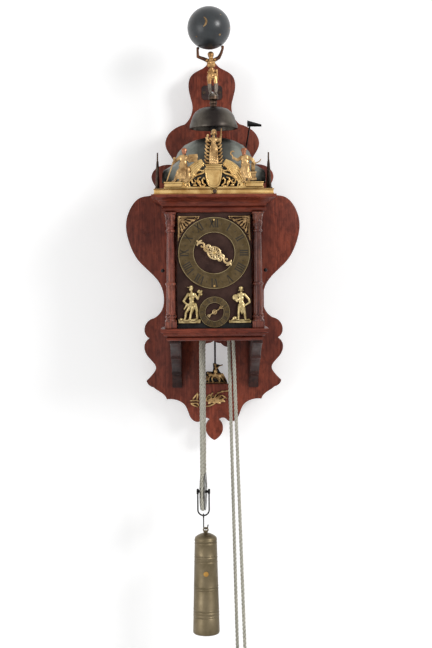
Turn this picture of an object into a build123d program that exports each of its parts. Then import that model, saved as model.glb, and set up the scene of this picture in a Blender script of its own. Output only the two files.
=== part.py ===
"""Dutch Zaandam wall clock: fretted backboard, posted movement, two bells, one endless rope.

Millimetres. X to the right, Y towards the wall, Z up. The origin is the centre of the hanging
hole in the rear face of the backboard. A depth is a distance in front of that face, along -Y.
"""

from build123d import *
import os
from math import atan2, cos, degrees, hypot, pi, radians, sin

os.makedirs("parts", exist_ok=True)

# Backboard and wall
board_half_width = 160
board_height = 699
board_top = 61
board_thickness = 18
hanging_hole_radius = 4
hanging_plate_size = (38, 26, 1.5)
hanging_screw_reach = 14.5
spacer_depth = 25
spacer_size = 18
spacer_lift = 14
spacer_places = ((48, -100), (84, -520))
window_half_width = 26.5
window_sill = -535
window_spring = -467
window_peak = -455.5
train_gap_half_width = 20
train_gap_top = -218
train_gap_bottom = -316

# Case
case_half_width = 75
case_depth = 190
case_top_level = -200
case_top_thickness = 10
cornice_level = -228
cornice_reach = 30.5
cornice_height = 30
shelf_level = -424.8
shelf_half_width = 78
shelf_thickness = 20.5
shelf_reach = 13
column_x = 74
column_depth = 204
column_foot = 20
column_shaft_radius = 6.6
corbel_width = 17.3
corbel_places = (-67.5, 72.5)
corbel_height = 95
rope_slot_size = (16, 84)

# Side doors
door_x = 81
door_thickness = 7
door_hinge_depth = 25
door_front_depth = 186
door_gap = 1
door_rail = 18
glass_thickness = 2
glass_rebate = 3
door_pin_radius = 1.5
door_pin_length = 14
door_knob_radius = 3.2
door_knob_reach = 7
running_gap = 0.05
free_gap = 0.3

# Dial
dial_depth = 195.5
dial_plate_thickness = 1.5
dial_half_width = 62.8
dial_top = -230.5
velvet_thickness = 1
velvet_bottom = -415
chapter_radius = 61.3
chapter_hole_radius = 34.4
chapter_level = -296.9
ring_thickness = 1.6
alarm_ring_radius = 26.3
alarm_hole_radius = 15.4
alarm_level = -397.1
hour_arbor_radius = 3
hour_hand_reach = 36
hour_hand_boss = 12
hour_hand_turn = -123.8
hour_hand_thickness = 1.6
hour_hand_depth = 203
alarm_arbor_radius = 1.8
alarm_hand_reach = 18.5
alarm_hand_tail = 14.5
alarm_hand_turn = -55.3
stud_radius = 1.6
relief_thickness = 3.5

# Brass crest round the case top
brass_half_width = 96
brass_depth = 208
brass_bar_width = 6
brass_bar_height = 9.6
fret_thickness = 3.2
fret_half_width = 84
fret_band_height = 10.5
shield_half_width = 13.2
shield_height = 28.5
side_fret_length = 150
side_fret_height = 58

# Bells and finial
bell_x = 1.5
bell_depth = 112
big_bell_radius = 91.6
big_bell_top = -94
big_bell_lip = -172
small_bell_radius = 42.3
small_bell_top = -38.4
small_bell_lip = -76.5
bell_wall = 2.6
stand_radius = 7
stand_neck_radius = 5
stand_tip_radius = 3.5
socket_top = -18.8
finial_lean = 3.3
globe_radius = 38
globe_height = 120.5

# Movement
movement_x = 2.5
plate_half_width = 48
plate_front_depth = 184
plate_rear_depth = 46
plate_thickness = 4
movement_top = -240
post_size = 8
dial_foot_radius = 3
bar_width = 16
bar_thickness = 4
bar_depths = (178, 110, 52)
rope_radius = 3
going_depth = 142
striking_depth = 82
going_sprocket_radius = 26.2
striking_sprocket_radius = 21
great_level = -345
great_arbor_radius = 2.5
arbor_radius = 1.5
sprocket_width = 11
rope_side = rope_radius + 1.2
wheel_thickness = 2.5
crossing_width = 5
great_module = 0.9
great_teeth = 64
striking_teeth = 78
pinion_leaves = 8
striking_module = (great_module * (great_teeth + pinion_leaves)
                   / (striking_teeth + pinion_leaves))
second_module = 0.7
second_teeth = 60
pin_wheel_teeth = 54
escape_radius = 16
escape_teeth = 15
escape_leaves = 6
mesh_opening = 1.2
report_module = 1.722
hour_teeth = 48
anchor_level = -264
pendulum_depth = -8
hammer_level = -226
hour_hammer_x = -41
alarm_hammer_x = 46
half_hour_hammer_x = 40

# Pendulum and bob
rod_radius = 1.7
bob_level = -519
bob_thickness = 6

# Rope, weight and counterweight
sheave_level = -716.2
sheave_radius = 32.8
sheave_width = 8.4
axle_radius = 2.4
stirrup_gap = 10
stirrup_wire = 1.3
stirrup_bottom = -758.5
hook_wire = 1
hook_radius = 3.6
weight_top = -788.5
weight_shoulder = -796.5
weight_bottom = -966
weight_neck = 3
weight_top_radius = 19.7
weight_bottom_radius = 23.8
ring_wire = 7
ring_radius = 15
ring_rope_level = -1001.8
ring_front = (50.5, -120)
ring_rear = (37.5, -104)


def front(depth):
    """The upright plane at a depth in front of the backboard's rear face, x right and y up."""
    return Plane.XZ.offset(depth)


def finish(piece, name):
    """Labels a finished piece and writes it."""
    piece.part.label = name
    export_step(piece.part, f"parts/{name}.step")


def limb(start, end, start_radius, end_radius):
    """A tapered limb with rounded ends, such as an arm, a leg or a torso."""
    run = Vector(*end) - Vector(*start)
    with BuildPart() as piece:
        with BuildSketch(Plane(origin=start, z_dir=run)):
            Circle(start_radius)
        with BuildSketch(Plane(origin=end, z_dir=run)):
            Circle(end_radius)
        loft()
        with Locations(start):
            Sphere(start_radius * 1.02)
        with Locations(end):
            Sphere(end_radius * 1.02)
    return piece.part


def limbs(joints):
    """The limbs of a figure, from rows of start, end, start radius and end radius."""
    return [limb(*joint) for joint in joints]


def surround(half_width, depth, level, profile):
    """A moulding along the left side, the front and the right side, mitred at the corners."""
    back = -board_thickness
    with BuildPart() as piece:
        with BuildLine() as run:
            Polyline((-half_width, back, level), (-half_width, -depth, level),
                     (half_width, -depth, level), (half_width, back, level))
        with BuildSketch(Plane((-half_width, back, level), x_dir=(-1, 0, 0), z_dir=(0, 1, 0))):
            add(profile)
        sweep(path=run.wires()[0], transition=Transition.RIGHT)
    return piece.part


def arbor(x, level, start, end, radius):
    """A round bar along Y between two depths."""
    with BuildPart() as piece:
        with BuildSketch(front(start)):
            with Locations((x, level)):
                Circle(radius)
        extrude(amount=end - start)
    return piece.part


def toothed_face(teeth, module, phase=0, tooth_share=0.34):
    """The face of a wheel or pinion with straight-sided teeth and generous backlash."""
    pitch_radius = teeth * module / 2
    root = pitch_radius - 0.95 * module
    tip = pitch_radius + 0.6 * module
    half_root = tooth_share * pi * module * 0.62
    half_tip = tooth_share * pi * module * 0.24
    with BuildSketch() as face:
        Circle(root)
        with PolarLocations(0, teeth, start_angle=phase):
            Polygon((root - module / 3, -half_root), (tip, -half_tip), (tip, half_tip),
                    (root - module / 3, half_root), align=None)
    return face.sketch


def crossed_wheel(teeth, module, hub, rim, phase=0):
    """A toothed wheel crossed out with four arms."""
    inner = teeth * module / 2 - 0.95 * module - rim
    blank = toothed_face(teeth, module, phase)
    with BuildSketch() as face:
        add(blank)
        Circle(inner, mode=Mode.SUBTRACT)
        Rectangle(2 * inner + rim, crossing_width)
        Rectangle(crossing_width, 2 * inner + rim)
        Circle(hub)
    return face.sketch


# Backboard: each run of the outline goes from one cusp to the next, in shares of the half
# width and of the height, from the crest at the top down to the spade at the foot.
crest = [(0, 0), (0.041, 0.009), (0.079, 0.019), (0.157, 0.029), (0.241, 0.044), (0.269, 0.07),
         (0.235, 0.107), (0.224, 0.124), (0.247, 0.149), (0.316, 0.17)]
upper_lobe = [(0.316, 0.17), (0.424, 0.18), (0.516, 0.201), (0.539, 0.222), (0.504, 0.243),
              (0.412, 0.279)]
ear = [(0.412, 0.279), (0.55, 0.276), (0.662, 0.288), (0.7, 0.306), (0.669, 0.328), (0.619, 0.343)]
belly = [(0.619, 0.343), (0.706, 0.356), (0.814, 0.36), (0.946, 0.39), (0.997, 0.439),
         (0.969, 0.474), (0.86, 0.526), (0.722, 0.558), (0.608, 0.59), (0.568, 0.628),
         (0.585, 0.653), (0.688, 0.679)]
upper_frill = [(0.688, 0.679), (0.769, 0.691), (0.794, 0.71), (0.738, 0.731)]
lower_frill = [(0.738, 0.731), (0.797, 0.754), (0.756, 0.779), (0.665, 0.81), (0.7, 0.825),
               (0.775, 0.843)]
point = [(0.775, 0.843), (0.751, 0.853), (0.694, 0.86)]
skirt = [(0.694, 0.86), (0.613, 0.873), (0.562, 0.883), (0.544, 0.892)]
foot = [(0.544, 0.892), (0.444, 0.893), (0.338, 0.907), (0.298, 0.926), (0.263, 0.943),
        (0.216, 0.951), (0.15, 0.948)]
notch = [(0.15, 0.948), (0.106, 0.941), (0.05, 0.946)]
spade = [(0.05, 0.946), (0.091, 0.957), (0.098, 0.973), (0.056, 0.991), (0, 1)]
outline_runs = (crest, upper_lobe, ear, belly, upper_frill, lower_frill, point, skirt, foot,
                notch, spade)

window_arch_rise = window_peak - window_spring

with BuildPart() as backboard:
    with BuildSketch(front(0)):
        with BuildLine() as half_outline:
            for outline_run in outline_runs:
                Spline(*[(share * board_half_width, board_top - drop * board_height)
                         for share, drop in outline_run])
            mirror(half_outline.line, about=Plane.YZ)
        make_face()
    extrude(amount=board_thickness)
    with BuildSketch(front(0)):
        Circle(hanging_hole_radius)
        with Locations((movement_x, (train_gap_top + train_gap_bottom) / 2)):
            Rectangle(2 * train_gap_half_width, train_gap_top - train_gap_bottom)
    extrude(amount=board_thickness, mode=Mode.SUBTRACT)
    with BuildSketch(front(0)):
        with BuildLine() as window_outline:
            Polyline((0, window_sill), (window_half_width, window_sill),
                     (window_half_width, window_spring))
            ThreePointArc((window_half_width, window_spring),
                          (window_half_width * 0.62, window_spring + window_arch_rise * 0.3),
                          (window_half_width * 0.5, window_spring + window_arch_rise * 0.62))
            ThreePointArc((window_half_width * 0.5, window_spring + window_arch_rise * 0.62),
                          (window_half_width * 0.2, window_spring + window_arch_rise * 0.72),
                          (0, window_peak))
            mirror(window_outline.line, about=Plane.YZ)
        make_face()
    extrude(amount=board_thickness, mode=Mode.SUBTRACT)
finish(backboard, "backboard")

with BuildPart() as wall_spacers:
    for spacer_x, spacer_z in spacer_places:
        with BuildSketch(front(-spacer_depth)):
            with Locations((-spacer_x, spacer_z), (spacer_x, spacer_z)):
                RectangleRounded(spacer_size, spacer_size + spacer_lift, 3)
        extrude(amount=spacer_depth)
finish(wall_spacers, "wall_spacers")

with BuildPart() as hanging_plate:
    with BuildSketch(front(board_thickness)):
        RectangleRounded(hanging_plate_size[0], hanging_plate_size[1], 6)
        Circle(hanging_hole_radius + 1, mode=Mode.SUBTRACT)
        with Locations((-hanging_screw_reach, 0), (hanging_screw_reach, 0)):
            Circle(stud_radius, mode=Mode.SUBTRACT)
    extrude(amount=hanging_plate_size[2])
finish(hanging_plate, "hanging_plate")

# Case top and crown moulding
hammer_slots = ((-52, -bell_depth, 30), (53, -bell_depth, 30), (45, -27, 18))
with BuildPart() as case_top:
    with BuildSketch(Plane.XY.offset(case_top_level - case_top_thickness)):
        with Locations((0, -(board_thickness + case_depth) / 2)):
            Rectangle(2 * case_half_width, case_depth - board_thickness)
        with Locations((bell_x, -bell_depth)):
            Circle(stand_radius + 1, mode=Mode.SUBTRACT)
        for slot_x, slot_y, slot_length in hammer_slots:
            with Locations((slot_x, slot_y)):
                SlotOverall(slot_length, 10, mode=Mode.SUBTRACT)
    extrude(amount=case_top_thickness)
finish(case_top, "case_top")

with BuildSketch() as cornice_profile:
    with BuildLine():
        Polyline((0, 0), (0.36 * cornice_reach, 0))
        ThreePointArc((0.36 * cornice_reach, 0), (0.45 * cornice_reach, 0.16 * cornice_height),
                      (0.36 * cornice_reach, 0.32 * cornice_height))
        Line((0.36 * cornice_reach, 0.32 * cornice_height),
             (0.44 * cornice_reach, 0.36 * cornice_height))
        ThreePointArc((0.44 * cornice_reach, 0.36 * cornice_height),
                      (0.6 * cornice_reach, 0.64 * cornice_height),
                      (0.88 * cornice_reach, 0.78 * cornice_height))
        Polyline((0.88 * cornice_reach, 0.78 * cornice_height),
                 (cornice_reach, 0.84 * cornice_height), (cornice_reach, cornice_height),
                 (0, cornice_height), (0, 0))
    make_face()
cornice_ring = surround(case_half_width, case_depth, cornice_level, cornice_profile.sketch)
with BuildPart() as cornice_moulding:
    add(cornice_ring)
    with Locations(*[(side * door_x, -door_hinge_depth, cornice_level) for side in (-1, 1)]):
        Cylinder(door_pin_radius, door_pin_length, mode=Mode.SUBTRACT)
finish(cornice_moulding, "cornice_moulding")

# Shelf with its own moulding and slots for the rope
shelf_depth = case_depth + 18
with BuildSketch() as shelf_profile:
    with BuildLine():
        Polyline((0, 0), (0.1 * shelf_reach, 0))
        ThreePointArc((0.1 * shelf_reach, 0), (0.32 * shelf_reach, 0.16 * shelf_thickness),
                      (0.1 * shelf_reach, 0.34 * shelf_thickness))
        ThreePointArc((0.1 * shelf_reach, 0.34 * shelf_thickness),
                      (0.55 * shelf_reach, 0.42 * shelf_thickness),
                      (0.78 * shelf_reach, 0.66 * shelf_thickness))
        Polyline((0.78 * shelf_reach, 0.66 * shelf_thickness),
                 (shelf_reach, 0.7 * shelf_thickness), (shelf_reach, shelf_thickness),
                 (0, shelf_thickness), (0, 0))
    make_face()
shelf_edge = surround(shelf_half_width, shelf_depth, shelf_level - shelf_thickness,
                      shelf_profile.sketch)
rope_middle = -(going_depth + striking_depth) / 2
left_rope_x = movement_x - (going_sprocket_radius + striking_sprocket_radius) / 2
right_rope_x = movement_x + (going_sprocket_radius + striking_sprocket_radius) / 2 + 2.5
with BuildPart() as shelf:
    with BuildSketch(Plane.XY.offset(shelf_level - shelf_thickness)):
        with Locations((0, -(board_thickness + shelf_depth) / 2)):
            Rectangle(2 * shelf_half_width, shelf_depth - board_thickness)
        with Locations((left_rope_x, rope_middle), (right_rope_x, rope_middle)):
            SlotOverall(rope_slot_size[1], rope_slot_size[0], rotation=90, mode=Mode.SUBTRACT)
    extrude(amount=shelf_thickness)
    add(shelf_edge)
    with Locations(*[(side * door_x, -door_hinge_depth, shelf_level) for side in (-1, 1)]):
        Cylinder(door_pin_radius, door_pin_length, mode=Mode.SUBTRACT)
finish(shelf, "shelf")

# Columns: turned cap, neck, middle ring and base, with eight reeds on each shaft
column_height = cornice_level - shelf_level
base_turning = [(0.6, 11), (9.6, 11.5), (9.8, 14.5), (8, 16), (8.9, 18.5), (8.2, 21), (7.4, 22.5),
                (8.4, 24), (7, 26)]
middle_turning = [(6.2, 72), (8.2, 73.5), (9, 75.5), (8.2, 77.5), (6.2, 79)]
cap_turning = [(6, 163), (7.8, 164.5), (7.8, 167), (6.6, 168.5), (6.8, 178), (8.6, 181), (9.4, 184),
               (9.4, 187), (0.6, 187)]


def reeded_shaft(x, start, end, start_radius, end_radius):
    """One tapered length of a column with eight reeds."""
    with BuildPart() as piece:
        for level, radius in ((start, start_radius), (end, end_radius)):
            with BuildSketch(Plane((x, -column_depth, shelf_level + level))):
                Circle(0.8 * radius)
                with PolarLocations(0.7 * radius, 8):
                    Circle(0.3 * radius)
        loft(ruled=True)
    return piece.part


def column(x):
    """A column between the shelf and the crown moulding."""
    shafts = [reeded_shaft(x, 25, 73, 1.15 * column_shaft_radius, 1.08 * column_shaft_radius),
              reeded_shaft(x, 78, 164, 1.02 * column_shaft_radius, 0.86 * column_shaft_radius)]
    with BuildPart() as piece:
        with BuildSketch(Plane.XY.offset(shelf_level)):
            with Locations((x, -column_depth)):
                Rectangle(column_foot, column_foot)
        extrude(amount=12)
        with BuildSketch(Plane.XY.offset(cornice_level - 10)):
            with Locations((x, -column_depth)):
                Rectangle(0.95 * column_foot, 0.95 * column_foot)
        extrude(amount=10)
        for turning in (base_turning, middle_turning, cap_turning):
            with BuildSketch(Plane((x, -column_depth, shelf_level), x_dir=(1, 0, 0),
                                   z_dir=(0, -1, 0))):
                with BuildLine():
                    Polyline((0, turning[0][1]), *turning, (0, turning[-1][1]), close=True)
                make_face()
            revolve(axis=Axis((x, -column_depth, 0), (0, 0, 1)))
        add(shafts)
    return piece


column_left = column(-column_x)
finish(column_left, "column_left")
column_right = column(column_x)
finish(column_right, "column_right")

# Brackets under the shelf: three hollow curves with a bead between them
corbel_top = shelf_level - shelf_thickness
corbel_reach = shelf_depth - 4
corbel_steps = [(corbel_reach, 0), (0.64 * corbel_reach, 0.36), (0.3 * corbel_reach, 0.74),
                (board_thickness + 8, 1)]


def corbel(x):
    """A bracket whose front curves back to the board in three steps."""
    with BuildPart() as piece:
        with BuildSketch(Plane((x - corbel_width / 2, 0, corbel_top), x_dir=(0, -1, 0),
                               z_dir=(-1, 0, 0))):
            with BuildLine():
                Polyline((board_thickness, 0), (corbel_steps[0][0], 0), (corbel_steps[0][0], -5))
                for (reach, share), (next_reach, next_share) in zip(corbel_steps, corbel_steps[1:]):
                    top = (reach, -5 - share * (corbel_height - 10))
                    low = (next_reach, -5 - next_share * (corbel_height - 10) + 4)
                    ThreePointArc(top, ((top[0] + low[0]) / 2 - 5, (top[1] + low[1]) / 2 + 3), low)
                    Line(low, (next_reach, low[1] - 4))
                Polyline((corbel_steps[-1][0], 5 - corbel_height),
                         (corbel_steps[-1][0], -corbel_height),
                         (board_thickness, -corbel_height), (board_thickness, 0))
            make_face()
        extrude(amount=-corbel_width)
    return piece


corbel_left = corbel(corbel_places[0])
finish(corbel_left, "corbel_left")
corbel_right = corbel(corbel_places[1])
finish(corbel_right, "corbel_right")

# Side doors, each with a pane in a rebate, a knob and two pins
door_height = column_height - 2 * door_gap
door_middle = (cornice_level + shelf_level) / 2
door_length = door_front_depth - door_hinge_depth + door_thickness / 2
door_centre = -(door_front_depth + door_hinge_depth - door_thickness / 2) / 2
knob_place = (-(door_front_depth - 12), door_middle)
pane_size = (door_length - 2 * door_rail + 2 * glass_rebate,
             door_height - 2 * door_rail + 2 * glass_rebate)


def door(side):
    """A door frame, standing on the plane of its inner face."""
    inner_face = Plane((side * (door_x - door_thickness / 2), 0, 0), x_dir=(0, side, 0),
                       z_dir=(side, 0, 0))
    with BuildPart() as piece:
        with BuildSketch(inner_face):
            with Locations((side * door_centre, door_middle)):
                Rectangle(door_length, door_height)
                Rectangle(door_length - 2 * door_rail, door_height - 2 * door_rail,
                          mode=Mode.SUBTRACT)
        extrude(amount=door_thickness)
        with BuildSketch(inner_face):
            with Locations((side * door_centre, door_middle)):
                Rectangle(*pane_size)
        extrude(amount=glass_thickness, mode=Mode.SUBTRACT)
        with Locations(*[(side * door_x, -door_hinge_depth, level)
                         for level in (door_middle - door_height / 2,
                                       door_middle + door_height / 2)]):
            Cylinder(door_pin_radius + running_gap, door_pin_length, mode=Mode.SUBTRACT)
    return piece


def pane(side):
    """The glass of a door, in the rebate of its frame."""
    with BuildPart() as piece:
        with Locations((side * (door_x - door_thickness / 2 + glass_thickness / 2), door_centre,
                        door_middle)):
            Box(glass_thickness, pane_size[0], pane_size[1])
    return piece


def knob(side):
    """A turned knob on the outer face of a door."""
    with BuildPart() as piece:
        with BuildSketch(Plane((side * (door_x + door_thickness / 2), *knob_place),
                               z_dir=(side, 0, 0))):
            Circle(0.45 * door_knob_radius)
        extrude(amount=door_knob_reach - door_knob_radius)
        with Locations((side * (door_x + door_thickness / 2 + door_knob_reach
                                - door_knob_radius), *knob_place)):
            Sphere(door_knob_radius)
    return piece


for side, side_name in ((-1, "left"), (1, "right")):
    finish(door(side), f"door_{side_name}")
    finish(pane(side), f"door_glass_{side_name}")
    finish(knob(side), f"door_knob_{side_name}")

with BuildPart() as door_pins:
    for side in (-1, 1):
        for level in (shelf_level, cornice_level):
            with Locations((side * door_x, -door_hinge_depth, level)):
                Cylinder(door_pin_radius, door_pin_length - 2 * free_gap)
finish(door_pins, "door_pins")

# Dial plate, cloth and rings
plate_face = dial_depth + dial_plate_thickness
cloth_face = plate_face + velvet_thickness
dial_middle = (dial_top + shelf_level) / 2
with BuildPart() as dial_plate:
    with BuildSketch(front(dial_depth)):
        with Locations((0, dial_middle)):
            Rectangle(2 * dial_half_width, dial_top - shelf_level)
        with Locations((0, chapter_level)):
            Circle(hour_arbor_radius + free_gap, mode=Mode.SUBTRACT)
        with Locations((0, alarm_level)):
            Circle(alarm_arbor_radius + running_gap, mode=Mode.SUBTRACT)
    extrude(amount=dial_plate_thickness)
finish(dial_plate, "dial_plate")

with BuildPart() as dial_velvet:
    with BuildSketch(front(plate_face)):
        with Locations((0, (dial_top + velvet_bottom) / 2)):
            Rectangle(2 * dial_half_width, dial_top - velvet_bottom)
        with Locations((0, chapter_level)):
            Circle(hour_arbor_radius + 2 * free_gap, mode=Mode.SUBTRACT)
        with Locations((0, alarm_level)):
            Circle(alarm_arbor_radius + free_gap, mode=Mode.SUBTRACT)
    extrude(amount=velvet_thickness)
finish(dial_velvet, "dial_velvet")


def flat_ring(level, radius, hole, rim):
    """A flat ring on the cloth with a raised edge inside and outside."""
    with BuildPart() as piece:
        with BuildSketch(front(cloth_face)):
            with Locations((0, level)):
                Circle(radius)
                Circle(hole, mode=Mode.SUBTRACT)
        extrude(amount=ring_thickness)
        with BuildSketch(front(cloth_face + ring_thickness)):
            with Locations((0, level)):
                Circle(radius)
                Circle(radius - rim, mode=Mode.SUBTRACT)
                Circle(hole + rim)
                Circle(hole, mode=Mode.SUBTRACT)
        extrude(amount=0.4)
    return piece


chapter_ring = flat_ring(chapter_level, chapter_radius, chapter_hole_radius, 2)
finish(chapter_ring, "chapter_ring")
alarm_ring = flat_ring(alarm_level, alarm_ring_radius, alarm_hole_radius, 1.2)
finish(alarm_ring, "alarm_ring")

# Pins and screws: hanging plate, chapter ring and brass bar
ring_face = cloth_face + ring_thickness
brass_bar_middle = case_top_level + 2 + brass_bar_height / 2
with BuildPart() as fasteners:
    with BuildSketch(front(board_thickness)):
        with Locations((-hanging_screw_reach, 0), (hanging_screw_reach, 0)):
            Circle(stud_radius)
    extrude(amount=hanging_plate_size[2])
    with BuildSketch(front(board_thickness + hanging_plate_size[2])):
        with Locations((-hanging_screw_reach, 0), (hanging_screw_reach, 0)):
            Circle(1.8 * stud_radius)
    extrude(amount=1)
    with BuildSketch(front(ring_face)):
        with Locations((0, chapter_level + chapter_radius - 5),
                       (0, chapter_level - chapter_radius + 5)):
            Circle(stud_radius)
    extrude(amount=2)
    with BuildSketch(front(brass_depth + brass_bar_width)):
        with Locations((bell_x, brass_bar_middle)):
            Circle(3.2)
    extrude(amount=2.5)
finish(fasteners, "fasteners")

# Corner spandrels: a winged mask that narrows along the ring
spandrel_inner = chapter_radius + 2.5
with BuildPart() as spandrels:
    with BuildSketch(front(cloth_face)):
        for side in (-1, 1):
            with BuildLine():
                Polyline((side * (dial_half_width - 1), dial_top - 3.5),
                         (side * 24, dial_top - 3.5), (side * 24, dial_top - 8),
                         (side * (dial_half_width - 4), dial_top - 46),
                         (side * (dial_half_width - 1), dial_top - 40), close=True)
            make_face()
        with Locations((0, chapter_level)):
            Circle(spandrel_inner, mode=Mode.SUBTRACT)
    extrude(amount=relief_thickness)
finish(spandrels, "spandrels")

# Dial figures: standing, one arm on the hip and the other raised, on a low ground
figure_depth = cloth_face + relief_thickness
ground_level = velvet_bottom - 1


def standing_figure(x, outer, arm_up):
    """The limbs of a small standing figure; outer is the side of the bent arm."""
    y = -figure_depth + 0.5
    hip = ground_level + 34
    shoulder = ground_level + 53
    inner = -outer
    return limbs([
        ((x + outer * 5, y, ground_level + 5), (x + outer * 3, y, hip), 2.2, 4),
        ((x + inner * 5, y, ground_level + 5), (x + inner * 3, y, hip), 2.2, 4),
        ((x, y, hip), (x, y, shoulder), 5, 4.6),
        ((x, y, shoulder + 2), (x, y, shoulder + 8), 2, 3.8),
        ((x + outer * 4, y, shoulder), (x + outer * 13, y, shoulder - 11), 1.8, 1.6),
        ((x + outer * 13, y, shoulder - 11), (x + outer * 5, y, hip + 2), 1.6, 1.5),
        ((x + inner * 4, y, shoulder), (x + inner * 11, y, shoulder + arm_up), 1.9, 2.4),
    ])


left_figure = standing_figure(-42, -1, 5)
right_figure = standing_figure(44, 1, -5)
with BuildPart() as dial_figures:
    for ground_x, ground_half in ((-41.5, 18), (43.5, 19.5)):
        with BuildSketch(front(cloth_face)):
            with Locations((ground_x, ground_level + 4)):
                Rectangle(ground_half * 2 - 1, 8)
        extrude(amount=relief_thickness + 1.5)
    add(left_figure)
    add(right_figure)
    split(bisect_by=front(cloth_face), keep=Keep.TOP)
finish(dial_figures, "dial_figures")

# Hour hand: a scrolled boss with a pointer, a tail and lily tips
hand_plane = Plane((0, -hour_hand_depth, chapter_level), x_dir=(1, 0, 0),
                   z_dir=(0, -1, 0)).rotated((0, -hour_hand_turn, 0))
with BuildPart() as hour_hand:
    with BuildSketch(hand_plane):
        Ellipse(0.85 * hour_hand_boss, hour_hand_boss)
        with Locations((0, hour_hand_boss * 1.25), (0, -hour_hand_boss * 1.25)):
            Circle(0.38 * hour_hand_boss)
        Rectangle(2.6, 1.84 * hour_hand_reach)
        with Locations((0, 0.86 * hour_hand_reach), (0, -0.86 * hour_hand_reach)):
            Rectangle(7, 7, rotation=45)
        with Locations((0, hour_hand_boss * 0.55), (0, -hour_hand_boss * 0.55)):
            Circle(0.2 * hour_hand_boss, mode=Mode.SUBTRACT)
        with Locations((hour_hand_boss * 0.5, 0), (-hour_hand_boss * 0.5, 0)):
            Circle(0.16 * hour_hand_boss, mode=Mode.SUBTRACT)
        Circle(hour_arbor_radius - 1, mode=Mode.SUBTRACT)
    extrude(amount=hour_hand_thickness)
finish(hour_hand, "hour_hand")

alarm_face = ring_face + 1.2
alarm_plane = Plane((0, -alarm_face, alarm_level), x_dir=(1, 0, 0),
                    z_dir=(0, -1, 0)).rotated((0, -alarm_hand_turn, 0))
alarm_arbor = arbor(0, alarm_level, dial_depth - 8, alarm_face + 1.4, alarm_arbor_radius)
alarm_collar = arbor(0, alarm_level, dial_depth - 4, dial_depth - free_gap, 5)
with BuildPart() as alarm_hand:
    with BuildSketch(alarm_plane):
        with BuildLine():
            Polyline((-1.2, -alarm_hand_tail), (1.2, -alarm_hand_tail), (2.2, 0),
                     (1.6, 0.5 * alarm_hand_reach), (3, 0.72 * alarm_hand_reach),
                     (0, alarm_hand_reach), (-3, 0.72 * alarm_hand_reach),
                     (-1.6, 0.5 * alarm_hand_reach), (-2.2, 0), close=True)
        make_face()
        Circle(4.2)
    extrude(amount=1.4)
    add(alarm_arbor)
    add(alarm_collar)
finish(alarm_hand, "alarm_hand")

# Brass bar round the crown moulding
brass_level = cornice_level + cornice_height
with BuildSketch() as brass_profile:
    with BuildLine():
        Polyline((0, 0), (brass_bar_width, 0), (brass_bar_width, 0.14 * brass_bar_height),
                 (0.8 * brass_bar_width, 0.22 * brass_bar_height),
                 (0.8 * brass_bar_width, 0.78 * brass_bar_height),
                 (brass_bar_width, 0.88 * brass_bar_height),
                 (brass_bar_width, brass_bar_height), (0, brass_bar_height), close=True)
    make_face()
brass_ring = surround(brass_half_width, brass_depth, brass_level, brass_profile.sketch)
with BuildPart() as brass_cornice:
    add(brass_ring)
finish(brass_cornice, "brass_cornice")

# Front fret: band, pedestal, shield, leaf consoles and scrolls
fret_depth = brass_depth + 0.6
fret_bottom = brass_level + brass_bar_height
fret_face = fret_depth + fret_thickness
band_top = fret_bottom + fret_band_height
shield_top = fret_bottom + shield_height
pedestal_top = shield_top + 8
with BuildPart() as front_fret:
    with BuildSketch(front(fret_depth)):
        with Locations((0, (fret_bottom + band_top) / 2)):
            Rectangle(2 * fret_half_width, fret_band_height)
        with Locations((0, (band_top + pedestal_top) / 2)):
            Rectangle(1.6 * shield_half_width, pedestal_top - band_top)
        for side in (-1, 1):
            with BuildLine() as console:
                Spline((side * 17, fret_bottom + 46), (side * 33, fret_bottom + 31),
                       (side * 46, fret_bottom + 14), (side * 50, fret_bottom + 4))
            trace(console.line, 8.5)
            with BuildLine() as scroll:
                ThreePointArc((side * 12, band_top + 16), (side * 24, band_top + 17),
                              (side * 28, band_top + 8))
                ThreePointArc((side * 28, band_top + 8), (side * 24, band_top + 2),
                              (side * 19, band_top + 5))
            trace(scroll.line, 3.6)
            with BuildLine() as brace:
                ThreePointArc((side * 12, band_top + 24), (side * 20, band_top + 24),
                              (side * 31, band_top + 17))
            trace(brace.line, 3)
    extrude(amount=fret_thickness)
    with BuildSketch(front(fret_face)):
        with BuildLine():
            Polyline((-shield_half_width, shield_top), (shield_half_width, shield_top),
                     (shield_half_width, shield_top - 0.55 * shield_height))
            ThreePointArc((shield_half_width, shield_top - 0.55 * shield_height),
                          (0.9 * shield_half_width, shield_top - 0.85 * shield_height),
                          (0.6 * shield_half_width, fret_bottom + 1.5))
            Line((0.6 * shield_half_width, fret_bottom + 1.5),
                 (-0.6 * shield_half_width, fret_bottom + 1.5))
            ThreePointArc((-0.6 * shield_half_width, fret_bottom + 1.5),
                          (-0.9 * shield_half_width, shield_top - 0.85 * shield_height),
                          (-shield_half_width, shield_top - 0.55 * shield_height))
            Line((-shield_half_width, shield_top - 0.55 * shield_height),
                 (-shield_half_width, shield_top))
        make_face()
    extrude(amount=3)
    with BuildSketch(front(fret_depth)):
        with Locations((0, (shield_top + pedestal_top) / 2)):
            Rectangle(1.9 * shield_half_width, pedestal_top - shield_top)
    extrude(amount=fret_thickness + 4.5)
finish(front_fret, "front_fret")

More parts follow.
